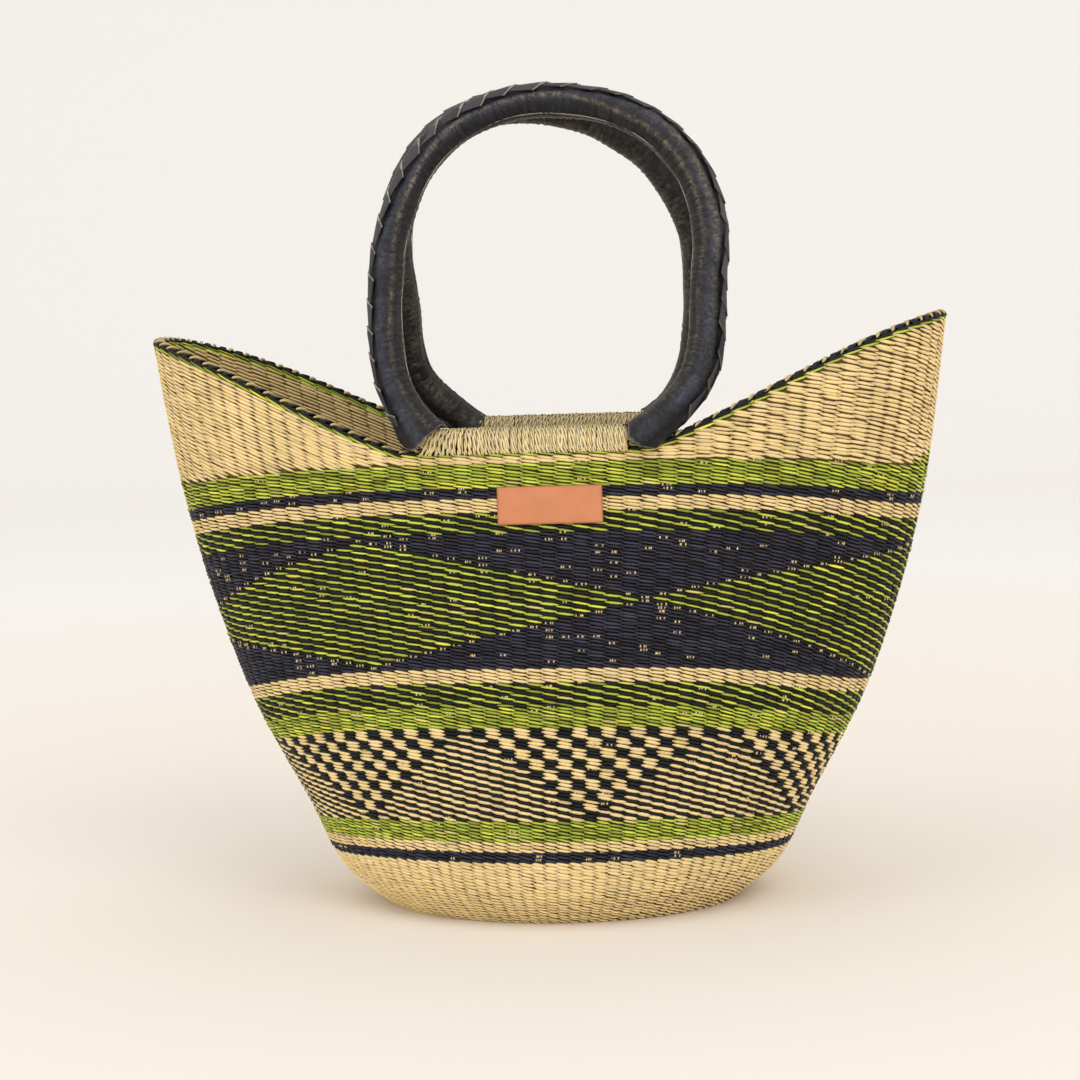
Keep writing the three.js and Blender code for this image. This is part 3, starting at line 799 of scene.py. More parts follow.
def stitches(bundle, height, level, stake, dyes, inside=False, follow=1.0, deep=1.0):
    """Lens-shaped stitches: each crosses its stake in front and tucks in behind the next ones.

    Along a stitch t goes from -1 to 1. Its line falls by the slant to the right, its height
    swells with the power 0.85 of 1 - t*t, and its middle stands out with the power 0.8 of it.
    In the wings it follows only a share of its row's climb and falls the more for it. On the
    inside it falls to the right too, as seen from inside. Deep makes the painted shade in the
    gaps beside it darker. Its colour has painted shade towards both ends, and the inside
    stitches are painted darker as a whole.
    """
    straw_size = bpy.context.scene.bag_straw
    rng = bundle.rng
    count = len(level)
    t = INNER_STATIONS if inside else OUTER_STATIONS
    round_off = 1 - t * t
    noise = rng.standard_normal((5, count, 1))
    reach = straw_size.reach * (1 + 0.05 * noise[0]) / 2
    share = (stake[:, None] + STAKE_AT + 0.04 * noise[1] + reach * t) / straw_size.stakes
    way = -1 if inside else 1
    fall = way * straw_size.slant * (1 + 0.15 * noise[2]) * t
    level = level[:, None] + 0.04 * noise[3]
    if height is band_height:
        z = height(share, level - fall)
    else:
        middle = share - reach * t / straw_size.stakes
        row = height(middle, level)
        x = np.abs(on_wall(middle, row)[..., 0])
        steep = WING_FALL * (1 - follow) * smoothstep(x, RIM_FLAT, WING_FALL_FROM)
        z = row + follow * (height(share, level) - row) - ROW * fall - way * steep * t
    depth = TUCK + CREST * round_off ** 0.8 + 0.1 * noise[4]
    lift = -WALL - depth if inside else depth
    path, normal = wall_frame(share, z, lift)
    if inside:
        normal = -normal
    uneven = 1 + 0.1 * rng.standard_normal((count, 1))
    swell = straw_size.fullness * ROW * uneven * round_off ** 0.85
    thick = THINNEST + (straw_size.thickness - THINNEST) * round_off
    # Painted shade: each stitch darker towards its tucked-in ends
    shade = 0.55 + 0.5 * round_off ** 0.6
    tint = tints(dyes, rng)[:, None] * (INSIDE_PAINTED_SHADE if inside else 1) * shade[None, :, None]
    # Painted shade: how dark the sides of each stitch are painted, by its dye
    gap = deep * PAINTED_GAP_SHADES[dyes][:, None, None]
    bundle.add(path, normal, swell, thick, 4 if inside else 5, tint, gap)


# How likely a stake shows: on a diamond's edge, outside it, inside it, and in other bands
EDGE_CHANCE, FIELD_CHANCE, DIAMOND_CHANCE = 0.9, 0.08, 0.025
BAND_CHANCES = {"navy": 0.12, "striped": 0.05, "check": 0.03, "green": 0.03}


def stake_dots(bundle, rows, stakes_count, first_row, chance):
    """Stems of a stake that show between two rows: three small pale lumps side by side."""
    rng = bundle.rng
    row, stake = np.nonzero(rng.random((rows, stakes_count)) < chance)
    row, stake = np.repeat(row, 3), np.repeat(stake, 3)
    count = len(row)
    if not count:
        return
    t = np.array([-1, -0.4, 0.4, 1])
    stem = np.tile([-1, 0, 1], count // 3)
    share = (stake + STAKE_AT + 0.16 * stem + 0.07 * rng.standard_normal(count)) / stakes_count
    half = 0.42 + 0.2 * rng.random((count, 1))
    z = band_height(share[:, None], first_row + row[:, None] + 1 + half * t)
    lift = -0.3 + 0.95 * (1 - t * t) + 0.22 * rng.standard_normal((count, 1))
    path, normal = wall_frame(share[:, None], z, lift)
    colour = tints(np.full(count, NATURAL), rng) * rng.uniform(0.55, 0.95, (count, 1))
    round_off = (1 - t * t) ** 0.5
    bundle.add(path, normal, 0.52 * round_off, 0.4 * round_off, 4, colour, 0.4)


def dot_chance(style, rows, stakes_count):
    """How likely a stake shows beside each stitch of a band."""
    row, stake = np.meshgrid(np.arange(rows), np.arange(stakes_count), indexing="ij")
    if style == "diamond":
        half = DIAMOND_PERIOD // 2
        side = distance_in_period(stake, DIAMOND_POINT + half, DIAMOND_PERIOD)
        edge = np.abs(row - rows // 2) + side - half
        on_edge = np.where(row < rows // 2, edge == 1, edge == 0)
        return np.where(on_edge, EDGE_CHANCE, np.where(edge > 0, FIELD_CHANCE, DIAMOND_CHANCE))
    return np.full(row.shape, BAND_CHANCES.get(style, 0.0))


# Over the green band: mm of a wing row that must show, and the green wedge at each tip as its
# height in rows and its half width in stakes
LEAST_SHOWN = 0.6
WEDGE_ROWS, WEDGE_STAKES = 5.2, 4


def wing_cells(stakes_count):
    """Rows and stakes of the wings that lie above the green band, and which of them are green."""
    row, stake = all_stitches(TIP_ROWS + 1, stakes_count)
    share = (stake + STAKE_AT) / stakes_count
    z = wing_height(share, row + 0.5)
    top = band_height(share, BAND_ROWS)
    kept = z > top + LEAST_SHOWN
    row, stake, over = row[kept], stake[kept], (z - top)[kept]
    from_tip = distance_in_period(stake + STAKE_AT, 0, stakes_count // 2)
    wedge = over < WEDGE_ROWS * ROW * (1 - from_tip / WEDGE_STAKES)
    return row, stake, np.where(wedge, GREEN, NATURAL)


class BEACHBAG_OT_woven_bands(bpy.types.Operator):
    """Twine the outer stitches of every band of the wall"""

    bl_idname = "beachbag.woven_bands"
    bl_label = "Woven Bands"

    def execute(self, context):
        stakes_count = context.scene.bag_straw.stakes
        first = 0
        for index, (name, rows, style) in enumerate(BANDS):
            bundle = Bundle(100 + index)
            row, stake = all_stitches(rows, stakes_count)
            dyes = dye_of(style, row, stake, rows, first)
            narrow = style == "natural" and rows < 5
            stitches(bundle, band_height, first + row + 0.5, stake, dyes, deep=1.4 if narrow else 1.0)
            stake_dots(bundle, rows, stakes_count, first, dot_chance(style, rows, stakes_count))
            bundle.finish(f"{name}_straw", straw(), "bag", [name], f"{style}_straw")
            first += rows
        return {"FINISHED"}


# Share of its row's climb that a stitch of the wings follows
WING_FOLLOW = 0.3


class BEACHBAG_OT_wings(bpy.types.Operator):
    """Twine the wings, whose rows run level with the rim, and the green row under the border"""

    bl_idname = "beachbag.wings"
    bl_label = "Wings"

    def execute(self, context):
        stakes_count = context.scene.bag_straw.stakes
        row, stake, dyes = wing_cells(stakes_count)
        bundle = Bundle(130)
        stitches(bundle, wing_height, row + 0.5, stake, dyes, follow=WING_FOLLOW)
        bundle.finish("wing_band_straw", straw(), "bag", ["wing_band"], "natural_straw")
        bundle = Bundle(131)
        stake = np.arange(stakes_count)
        stitches(bundle, wing_height, np.full(stakes_count, -0.5), stake, np.full(stakes_count, GREEN))
        bundle.finish("rim_green_row_straw", straw(), "bag", ["rim_green_row"], "green_straw")
        return {"FINISHED"}


class BEACHBAG_OT_inside(bpy.types.Operator):
    """Twine the inner face of the wall in two halves"""

    bl_idname = "beachbag.inside"
    bl_label = "Inside"

    def execute(self, context):
        stakes_count = context.scene.bag_straw.stakes
        lower, upper = Bundle(140), Bundle(141)
        first = 0
        for _, rows, style in BANDS:
            bundle = lower if first + rows <= BAND_ROWS // 2 else upper
            row, stake = all_stitches(rows, stakes_count)
            dyes = dye_of(style, row, stake + 1, rows, first)
            stitches(bundle, band_height, first + row + 0.5, stake, dyes, inside=True)
            first += rows
        row, stake, dyes = wing_cells(stakes_count)
        stitches(upper, wing_height, row + 0.5, stake, dyes, True, WING_FOLLOW)
        stake, green = np.arange(stakes_count), np.full(stakes_count, GREEN)
        for level in (-0.5, 0.25):
            stitches(upper, wing_height, np.full(stakes_count, level), stake, green, True)
        lower.finish("lower_inside_straw", straw(), "bag", [], "natural_straw")
        upper.finish("upper_inside_straw", straw(), "bag", [], "natural_straw")
        return {"FINISHED"}


class BEACHBAG_OT_stake_wall(bpy.types.Operator):
    """Make the core of the wall: the upright stakes side by side, seen between the stitches"""

    bl_idname = "beachbag.stake_wall"
    bl_label = "Stake Wall"

    # Levels and columns to a stake; then mm over the floor, over the rim and from the wall's face
    LEVELS, COLUMNS_EACH = 44, 4
    FOOT, OVER_RIM = 1.2, 0.2
    OUTER_FACE, INNER_FACE, RIB = -1.95, -3.55, 0.35
    # Painted shade: the stakes are tinted far darker than the straw, for the shade in the gaps between the
    # stitches; the paler tone below this height in mm and above the bands, the deeper one behind the dyed
    # bands
    NATURAL_BELOW = 36
    LIGHT_TONE, DARK_TONE = (0.32, 0.26, 0.19), (0.16, 0.16, 0.16)

    def execute(self, context):
        """Two ribbed faces by share of the girth and height, joined over the top and the foot."""
        straw_size = context.scene.bag_straw
        columns = straw_size.stakes * self.COLUMNS_EACH
        share = (np.arange(columns) + STAKE_AT * self.COLUMNS_EACH) / columns
        rise = np.linspace(0, 1, self.LEVELS)[:, None]
        z = self.FOOT + (rim_height(share) + self.OVER_RIM - self.FOOT) * rise
        rib = self.RIB * np.cos(2 * math.pi * (share * straw_size.stakes - STAKE_AT))
        outer, _ = wall_frame(share, z, self.OUTER_FACE + rib)
        inner, _ = wall_frame(share, z, self.INNER_FACE - rib)
        rings = np.concatenate([outer, inner[::-1]])
        points = rings.reshape(-1, 3)
        total = len(rings)
        faces = grid_faces(total + 1, columns) % (total * columns)
        places = grid_places(total + 1, columns)
        height = rings[..., 2]
        natural = (height < self.NATURAL_BELOW) | (height > band_height(share, BAND_ROWS))
        # Painted shade in the gaps: paler over natural straw, deeper behind the dyed bands
        tone = np.where(natural.reshape(-1, 1), self.LIGHT_TONE, self.DARK_TONE)
        tint = tone * np.array(straw_size.natural)
        fibre = np.stack(np.broadcast_arrays(height * 0.07, share * 900, 0.0), -1).reshape(-1, 3)
        make_piece("stake_wall", points, [faces], [places], straw(), "bag", [], tint, fibre)
        return {"FINISHED"}


class BEACHBAG_OT_base(bpy.types.Operator):
    """Twine the oval base in rings from its edge to its middle, on both faces"""

    bl_idname = "beachbag.base"
    bl_label = "Base"

    # Rings of stitches: mm from ring to ring and from stitch to stitch, then where they start
    # and end, and the heights of the plate inside
    PITCH, STITCH_GAP = 2.05, 8.6
    FIRST_INSET, CORE_INSET = 1.6, 3
    LEAST_DEPTH = 1.2
    CORE_LOW, CORE_HIGH = 1.4, 3.6

    def execute(self, context):
        bundle = Bundle(150)
        inset = self.FIRST_INSET
        ring = 0
        while DEPTHS[0] - inset > self.LEAST_DEPTH:
            self.ring(bundle, LENGTHS[0] - inset, DEPTHS[0] - inset, ring % 2)
            inset += self.PITCH
            ring += 1
        bundle.finish("base_straw", straw(), "bag", ["base_panel"], "natural_straw")
        self.make_core(LENGTHS[0] - self.CORE_INSET, DEPTHS[0] - self.CORE_INSET)
        return {"FINISHED"}

    def ring(self, bundle, length, depth, odd):
        """One oval ring of stitches on each face, each falling across the ring and bulging out."""
        t = INNER_STATIONS
        round_off = 1 - t * t
        around = math.pi * (3 * (length + depth) - math.sqrt((3 * length + depth) * (length + 3 * depth)))
        count = max(6, 2 * round(around / self.STITCH_GAP / 2))
        angles = np.linspace(0, 2 * math.pi, 1441)
        outline = np.stack([length * np.cos(angles), depth * np.sin(angles)], -1)
        run = np.concatenate([[0], np.cumsum(np.linalg.norm(np.diff(outline, axis=0), axis=1))])
        for height, face in ((0.95, -1), (4.15, 1)):
            share = (np.arange(count)[:, None] + 0.63 * t + 0.5 * odd) / count
            angle = np.interp(np.mod(share, 1), run / run[-1], angles)
            shrink = 1 - 0.4 * self.PITCH * t * face / depth
            z = height + face * (0.65 * round_off ** 0.7 - 0.25)
            x, y = length * np.cos(angle) * shrink, depth * np.sin(angle) * shrink
            path = np.stack(np.broadcast_arrays(x, y, z), -1)
            outward = np.zeros_like(path)
            outward[..., 2] = face
            swell = 0.56 * self.PITCH * round_off ** 0.5
            # Painted shade: each stitch darker towards its ends
            tint = tints(np.full(count, NATURAL), bundle.rng)[:, None] * (0.7 + 0.3 * round_off)[:, None]
            bundle.add(path, outward, swell, 0.2 + 0.3 * round_off, 4, tint)

    def make_core(self, length, depth):
        """Plate of stakes inside the base: rings that shrink to a point on both faces."""
        sides, steps = 96, 14
        angle = 2 * math.pi * np.arange(sides) / sides
        shrink = np.concatenate([np.linspace(0.001, 1, steps), np.linspace(1, 0.001, steps)])[:, None]
        z = np.repeat([self.CORE_LOW, self.CORE_HIGH], steps)[:, None]
        x, y = length * np.cos(angle) * shrink, depth * np.sin(angle) * shrink
        rings = np.stack(np.broadcast_arrays(x, y, z), -1)
        points = np.concatenate([rings.reshape(-1, 3), [[0, 0, self.CORE_LOW], [0, 0, self.CORE_HIGH]]])
        count = 2 * steps
        faces = grid_faces(count, sides)
        k = np.arange(sides)
        after = (k + 1) % sides
        low, high = count * sides, count * sides + 1
        last = (count - 1) * sides
        fans = np.concatenate([np.stack([np.full(sides, low), after, k], -1),
                               np.stack([np.full(sides, high), last + k, last + after], -1)])
        # Painted shade: the plate is tinted far darker than the straw, for the shade between the stitches of
        # the base
        tint = np.broadcast_to(0.4 * np.array(bpy.context.scene.bag_straw.natural), points.shape)
        places = [grid_places(count, sides, (0, 0, 1, 0.9)), np.full((2 * sides, 3, 2), 0.95)]
        make_piece("base_core", points, [faces, fans], places, straw(), "bag", [],
                   tint, points * np.array([0.05, 1, 1]))


# Rim

LASHED_HALF = 54.0

# The border's height beside the leather ends, how much it gains in the open, and between which
# distances from the handle's middle it does, all in mm
PRESSED, RISE, PRESSED_TO, OPEN_FROM = 1.2, 1.5, 76, 92
KNOB_SHADE = 0.64


def from_handle(share):
    """Distance along the rim from the middle of the handle on that side."""
    point = on_wall(share, rim_height(share))
    shift = np.where(point[:, 1] < 0, HANDLES["front_handle"]["shift"], HANDLES["back_handle"]["shift"])
    return np.abs(point[:, 0] - shift)


class BEACHBAG_OT_rim_border(bpy.types.Operator):
    """Bind the rim: black grass along both faces and pale stake ends folded over the top"""

    bl_idname = "beachbag.rim_border"
    bl_label = "Rim Border"

    def execute(self, context):
        """Strands everywhere but in the lashings; the border lies lower beside the leather ends."""
        bundle = Bundle(160)
        stakes_count = context.scene.bag_straw.stakes
        stake = np.arange(stakes_count)
        away = from_handle((stake + STAKE_AT) / stakes_count)
        open_here = away >= LASHED_HALF
        stake, away = stake[open_here], away[open_here]
        size = (PRESSED + RISE * smoothstep(away, PRESSED_TO, OPEN_FROM))[:, None]
        self.knobs(bundle, stake, size, stakes_count)
        self.over(bundle, stake, size, stakes_count)
        for inside in (False, True):
            self.along(bundle, stake + 0.5, size, stakes_count, inside)
        bundle.finish("rim_border_straw", straw(), "bag", ["rim_border"], "border_straw")
        return {"FINISHED"}

    def knobs(self, bundle, stake, size, stakes_count):
        """Pale stake ends, folded to the right over the top and pointed down on the inside."""
        rng = bundle.rng
        tint = tints(np.full(len(stake), NATURAL), rng) * KNOB_SHADE
        t = np.linspace(-1, 1, 10)
        turn = np.radians(100 + 72 * t)
        share = (stake[:, None] + 0.27 * t + 0.03 * rng.standard_normal((len(stake), 1))) / stakes_count
        z = rim_height(share) + 0.3 + (0.75 * size + 0.5) * np.sin(turn)
        lift = -WALL / 2 + (WALL / 2 + 0.6) * np.cos(turn)
        path, normal = wall_frame(share, z, lift)
        outward = normal * np.cos(turn)[:, None] + np.array([0, 0, 1]) * np.sin(turn)[:, None]
        round_off = (1 - t * t) ** 0.6
        swell = 1.05 * round_off * (1 + 0.15 * rng.standard_normal((len(stake), 1)))
        bundle.add(path, outward, swell, 0.95 * round_off, 8, tint, 0.6)

    def over(self, bundle, stake, size, stakes_count):
        """Black strands between the knobs, from low on the outside to low on the inside."""
        rng = bundle.rng
        tint = tints(np.full(len(stake), BLACK), rng)
        turn = np.linspace(0, math.pi, 9)
        share = (stake[:, None] + 0.5 + 0.8 * (turn / math.pi - 0.5)) / stakes_count
        share = share + 0.02 * rng.standard_normal((len(stake), 1)) / stakes_count
        z = rim_height(share) + 0.2 + 0.85 * size * np.sin(turn)
        lift = -WALL / 2 + (WALL / 2 + 0.15) * np.cos(turn)
        path, normal = wall_frame(share, z, lift)
        outward = normal * np.cos(turn)[:, None] + np.array([0, 0, 1]) * np.sin(turn)[:, None]
        swell = (0.6 + 1.5 * np.sin(turn)) * (1 + 0.1 * rng.standard_normal((len(stake), 1)))
        bundle.add(path, outward, swell, 0.75, 6, tint, 0.6)

    def along(self, bundle, stake, size, stakes_count, inside):
        """Black strands along one face of the border, each rising towards the right."""
        t = OUTER_STATIONS
        round_off = 1 - t * t
        share = (stake[:, None] + 0.62 * t) / stakes_count
        climb = 0.55 * (t + 1) / 2
        z = rim_height(share) + 0.25 + climb * size * 0.72
        depth = -0.7 + 0.85 * round_off
        path, normal = wall_frame(share, z, -WALL - depth if inside else depth)
        outward = -normal if inside else normal
        tint = tints(np.full(len(stake), BLACK), bundle.rng)
        thick = 0.3 + 0.55 * round_off
        bundle.add(path, outward, 0.85 * round_off ** 0.5, thick, 5, tint, 0.6)


# Lashings

WRAPS, LASH_STATIONS = 50, 44
LASH_TURNS = 4.2
LASH_FROM, LASH_SWEEP = math.radians(-62), math.radians(304)
LASH_POWER = 2 / 2.5


def bar_of(name):
    """Middle of a handle's bar in mm, from its joint in the frame."""
    places = {joint["child"]: joint["pos_m"] for joint in frame["joints"]}
    return np.array(places[name]) / MM


class BEACHBAG_OT_lashings(bpy.types.Operator):
    """Wind pairs of twisted grass round each handle's bar and the rim"""

    bl_idname = "beachbag.lashings"
    bl_label = "Lashings"

    def execute(self, context):
        for index, (name, handle) in enumerate(HANDLES.items()):
            node = name.replace("handle", "lashing")
            bundle = Bundle(170 + index)
            self.wind(bundle, handle, bar_of(name))
            bundle.finish(f"{node}_straw", straw(), "bag", [node], "lashing_straw")
        return {"FINISHED"}

    def wind(self, bundle, handle, bar):
        """Each strand climbs one face, crosses over the bar and comes down the other face.

        Its place round the bundle is a superellipse in y and z, open at the bottom, and the two
        strands of a pair turn round each other. Plain strands lie under them. At the first end
        the strands fan out towards the rim.
        """
        rng = bundle.rng
        side, shift = handle["side"], handle["shift"]
        count = WRAPS * 2
        s = np.linspace(0, 1, LASH_STATIONS)
        turn = LASH_FROM + LASH_SWEEP * s
        bottom, top = RIM_MIDDLE - 2.0, bar[2] + BAR_RADIUS + 1.9
        middle, half_height = (top + bottom) / 2, (top - bottom) / 2
        ends = smoothstep(s, 0, 0.07) * smoothstep(1 - s, 0, 0.07)
        width = (1.9 + 3.6 * ends) * (1 - 0.06 * np.sin(math.pi * s))
        pair = np.arange(count) // 2
        member = np.arange(count) % 2
        start = (pair + 0.5) / WRAPS * 2 - 1
        phase = (rng.random(WRAPS) * 2 * math.pi)[pair] + math.pi * member
        twist = phase[:, None] + 2 * math.pi * LASH_TURNS * s
        drift = (rng.standard_normal(WRAPS) * 0.3)[pair][:, None] * np.sin(2 * math.pi * s)
        lean = (rng.standard_normal(WRAPS) * 0.2)[pair][:, None]
        x = start[:, None] * (LASHED_HALF + 1.2) + drift + lean + 0.6 * np.cos(twist)
        fan = smoothstep(-start, 0.55, 1.0)[:, None]
        x = x - fan * (13 * np.clip(1 - s / 0.48, 0, 1) - 1.5)
        out = 0.5 * np.sin(twist) + 0.15 * rng.standard_normal((count, 1))
        taper = 0.35 + 0.65 * ends
        colour = np.array(bpy.context.scene.bag_straw.lashing)
        top_shade = 1 - 0.42 * peak(s, 0.5, 0.16)

        def lay(x, out, radius):
            cos, sin = np.cos(turn), np.sin(turn)
            y = (width + out) * np.sign(cos) * np.abs(cos) ** LASH_POWER
            z = middle + (half_height + 0.6 * out) * np.sign(sin) * np.abs(sin) ** LASH_POWER
            path = np.stack(np.broadcast_arrays(x + shift, bar[1] + side * y, z), -1)
            outward = np.stack([np.zeros_like(turn), side * cos, sin], -1)
            shade = np.clip(1 + 0.1 * rng.standard_normal((len(x), 1)), 0.6, 1.25)
            warm = 1 + rng.standard_normal((len(x), 1)) * np.array([0.02, 0.0, -0.07])
            tint = no_brighter(colour * shade * warm)[:, None] * top_shade[None, :, None]
            bundle.add(path, outward, radius, 0.85 * radius, 6, tint, 1.2)

        lay(x, out, 0.66 * (1 + 0.12 * rng.standard_normal((count, 1))) * taper)
        between = (np.arange(WRAPS + 1) / WRAPS * 2 - 1)[:, None] * (LASHED_HALF + 0.8)
        lay(between, -0.75, 0.7 * taper)


# Handles


def ring_arc(turn):
    """Arcs end to end from the bar's end: x and z by direction in degrees, up to half a turn."""
    starts = (0, *(until for _, until in RING_ARCS[:-1]))
    x, z = np.zeros_like(turn), np.zeros_like(turn)
    bar_half = RING_ARCS[-1][0]
    for (radius, until), start in zip(RING_ARCS, starts):
        low, high = math.radians(start), np.radians(np.clip(turn, start, until))
        x = x + radius * (np.sin(high) - math.sin(low))
        z = z + radius * (math.cos(low) - np.cos(high))
        if until < 180:
            bar_half -= radius * (math.sin(math.radians(until)) - math.sin(low))
    return bar_half + x, z


def ring_top():
    """Half height of the ring's path, from the bar to its top."""
    return float(ring_arc(np.array([180.0]))[1][0])


def ring_line(turn, handle):
    """Middle line of a ring by direction, and the way out of the ring there."""
    mirrored = turn > 180
    folded = np.where(mirrored, 360 - turn, turn)
    x, z = ring_arc(folded)
    side = np.where(mirrored, -1, 1)
    angle = np.radians(folded)
    flat = np.zeros_like(angle)
    out = np.stack([side * np.sin(angle), flat, -np.cos(angle)], -1)
    rise = np.clip(z / FULL_HEIGHT, 0, 1) ** 0.75
    full = np.where(mirrored, 0, np.sin(math.pi * rise) ** 2)
    lean = handle["sway"] * z / ring_top() + handle["fullness"] * full
    shoulder, first, last = handle["shoulder"]
    bulge = np.clip((turn - first) / (last - first), 0, 1)
    away = shoulder * np.sin(math.pi * bulge) ** 2 + handle["sag"] * peak(turn, SAG_MIDDLE, SAG_WIDTH)
    return np.stack([side * x + lean, flat, z], -1) + out * away[..., None], out


def place_handle(points, handle, bar):
    """From upright on its bar to its place: it leans in, and the back one is turned round."""
    x, y, z = np.moveaxis(points, -1, 0)
    cos, sin = math.cos(LEAN), math.sin(LEAN)
    leaned = np.stack([x, y * cos + z * sin, z * cos - y * sin], -1)
    turned = leaned * (np.array([-1, -1, 1]) if handle["side"] == BACK else 1)
    return turned + bar


def even_turns(count, first, last, handle):
    """Directions at even lengths along the ring's middle line."""
    fine = np.linspace(first, last, 4001)
    at, _ = ring_line(fine, handle)
    run = np.concatenate([[0], np.cumsum(np.linalg.norm(np.diff(at, axis=0), axis=1))])
    return np.interp(np.linspace(0, run[-1], count), run, fine), run[-1]


def tube(turn, angle, radius, handle):
    """Points round the ring's line: angle 0 faces out of the ring, +90 degrees local +Y."""
    at, out = ring_line(turn, handle)
    up = np.array([0.0, 1.0, 0.0])
    return at + out * (np.cos(angle) * radius)[..., None] + up * (np.sin(angle) * radius)[..., None]


def waves(run, angle, rng, count, low, high, amplitude):
    """Sum of seeded sine waves over length and angle, for creases and soft dents."""
    total = np.zeros(np.broadcast(run, angle).shape)
    for _ in range(count):
        length = math.exp(rng.uniform(math.log(low), math.log(high)))
        turns = rng.integers(-2, 3)
        phase = rng.uniform(0, 2 * math.pi)
        total += np.sin(2 * math.pi * run / length + turns * angle + phase)
    return total * amplitude / math.sqrt(count)


def seam_line(turn):
    """Angle of the seam round the grip, in radians: on the outside, drifting to the seen side."""
    return np.radians(3 - 50 * peak(turn, 218, 55))


def bell(face, middle, width):
    """Peak round the grip, whichever whole turn the angles are in."""
    return peak(np.angle(np.exp(1j * (face - middle))), 0, width)


def edge_line(run, turn):
    """Angle across the grip, from outside through the seen side, of the leather's cut edge."""
    return 2.93 - 0.2 * peak(turn, 160, 38) + 0.03 * np.sin(run / 17)


class BEACHBAG_OT_leather(bpy.types.Operator):
    """Wrap each ring in leather: a sleeve with a laced flap seam, creases and rubbed bands"""

    bl_idname = "beachbag.leather"
    bl_label = "Leather"

    # Rings of the outer face, points in a ring, rings of the bore and rings of each end's rim
    ALONG, AROUND, INNER, RIM = 500, 92, 40, 4

    # Lips at the two ends: length along the grip, then for each bell its reach in mm, its angle
    # round the grip and its width
    LIP_LENGTH = 36
    FIRST_LIP = ((6.0, 0.75, 0.5), (7.0, 1.5, 0.6), (6.0, 2.8, 0.5), (3.5, 4.2, 0.9))
    LAST_LIP = ((5.5, 0.9, 0.5), (5.5, 1.9, 0.7), (6.5, 2.95, 0.5), (-14.0, -0.25, 0.5))

    # Half the angle that the flap under the lacing takes
    FLAP_HALF = 0.38

    # Flare of the two mouths: mm, angle round the grip, width of the bell and length along the grip
    FIRST_FLARE = ((0.5, 0.0, 0.6, 20),)
    LAST_FLARE = ((5.2, 0.7, 0.7, 24), (2.0, 2.9, 0.6, 20))

    def execute(self, context):
        for index, (name, handle) in enumerate(HANDLES.items()):
            self.sleeve(name, handle, np.random.default_rng(180 + index))
        return {"FINISHED"}

    def sleeve(self, name, handle, rng):
        settings = bpy.context.scene.bag_leather
        turn, whole = even_turns(self.ALONG, LEATHER_START, 360 - LEATHER_START, handle)
        run = np.linspace(0, whole, self.ALONG)[:, None]
        angle = np.linspace(0, 2 * math.pi, self.AROUND, endpoint=False)[None]
        off = np.angle(np.exp(1j * (angle - seam_line(turn)[:, None])))
        face = np.mod(-angle, 2 * math.pi)
        radius, masks = self.relief(run, turn[:, None], off, face, whole, settings, rng)
        outer = tube(turn[:, None], angle, radius, handle)
        outer = outer + self.tongues(run, turn, face, whole, rng)
        inner_turn, _ = even_turns(self.INNER, LEATHER_START, 360 - LEATHER_START, handle)
        bore = settings.radius - settings.thickness - 0.1
        inner = tube(inner_turn[::-1, None], angle, bore, handle)
        mix = np.linspace(0, 1, self.RIM + 2)[1:-1, None, None]
        end_rim = outer[-1] * (1 - mix) + inner[0] * mix
        start_rim = inner[-1] * (1 - mix) + outer[0] * mix
        rings = np.concatenate([outer, end_rim, inner, start_rim])
        total = len(rings)
        tint = np.zeros((total, self.AROUND, 3))
        tint[: self.ALONG] = masks
        tint[self.ALONG: self.ALONG + self.RIM, :, 2] = 0.75
        tint[-self.RIM:, :, 2] = 0.75
        tint[[0, self.ALONG - 1], :, 2] = 0.5
        points = place_handle(rings, handle, bar_of(name)).reshape(-1, 3)
        lengths = np.concatenate([run[:, 0], np.full(total - self.ALONG, whole)])[:, None]
        grain = np.stack(np.broadcast_arrays(0.62 * lengths, 1.1 * face, 0.0), -1)
        faces = grid_faces(total + 1, self.AROUND) % (total * self.AROUND)
        make_piece(f"{name}_sleeve", points, [faces], [self.strips(total)], leather(), name,
                   [f"{name}_leather"], tint.reshape(-1, 3), grain.reshape(-1, 3))

    def tongues(self, run, turn, face, whole, rng):
        """How far each end's lip reaches on past the cut; it fades with a square along the grip."""
        ragged = 1 + 0.12 * np.sin(3 * face + rng.uniform(0, 6)) + 0.05 * np.sin(17 * face)
        angle = np.radians(turn)
        along = np.stack([np.cos(angle), np.zeros_like(angle), np.sin(angle)], -1)[:, None]
        first = sum(reach * bell(face, *place) for reach, *place in self.FIRST_LIP)
        last = sum(reach * bell(face, *place) for reach, *place in self.LAST_LIP)
        first = first * np.clip(1 - run / self.LIP_LENGTH, 0, 1) ** 2
        last = last * np.clip(1 - (whole - run) / self.LIP_LENGTH, 0, 1) ** 2
        return along * (ragged * (last - first))[..., None]

    def flare(self, from_end, face, parts):
        """How far a mouth opens: each part fades with the power 1.5 over its length."""
        return sum(reach * bell(face, middle, width) * np.clip(1 - from_end / length, 0, 1) ** 1.5
                   for reach, middle, width, length in parts)

    def strips(self, total):
        """The sleeve's grid cut into four long strips and one short for the inside."""
        i, j = np.meshgrid(np.arange(total), np.arange(self.AROUND), indexing="ij")
        part = self.ALONG // 4
        strip = np.minimum(i // part, 4)
        start = strip * part
        length = np.where(strip < 4, part, total - 4 * part)
        run = np.stack([i, i, i + 1, i + 1], -1) - start[..., None]
        run = run / length[..., None]
        around = np.stack([j, j + 1, j + 1, j], -1) / self.AROUND
        high = 0.24 * strip
        tall = np.where(strip < 4, 0.235, 0.035)
        return np.stack([run * 0.998, high[..., None] + tall[..., None] * around], -1).reshape(-1, 4, 2)

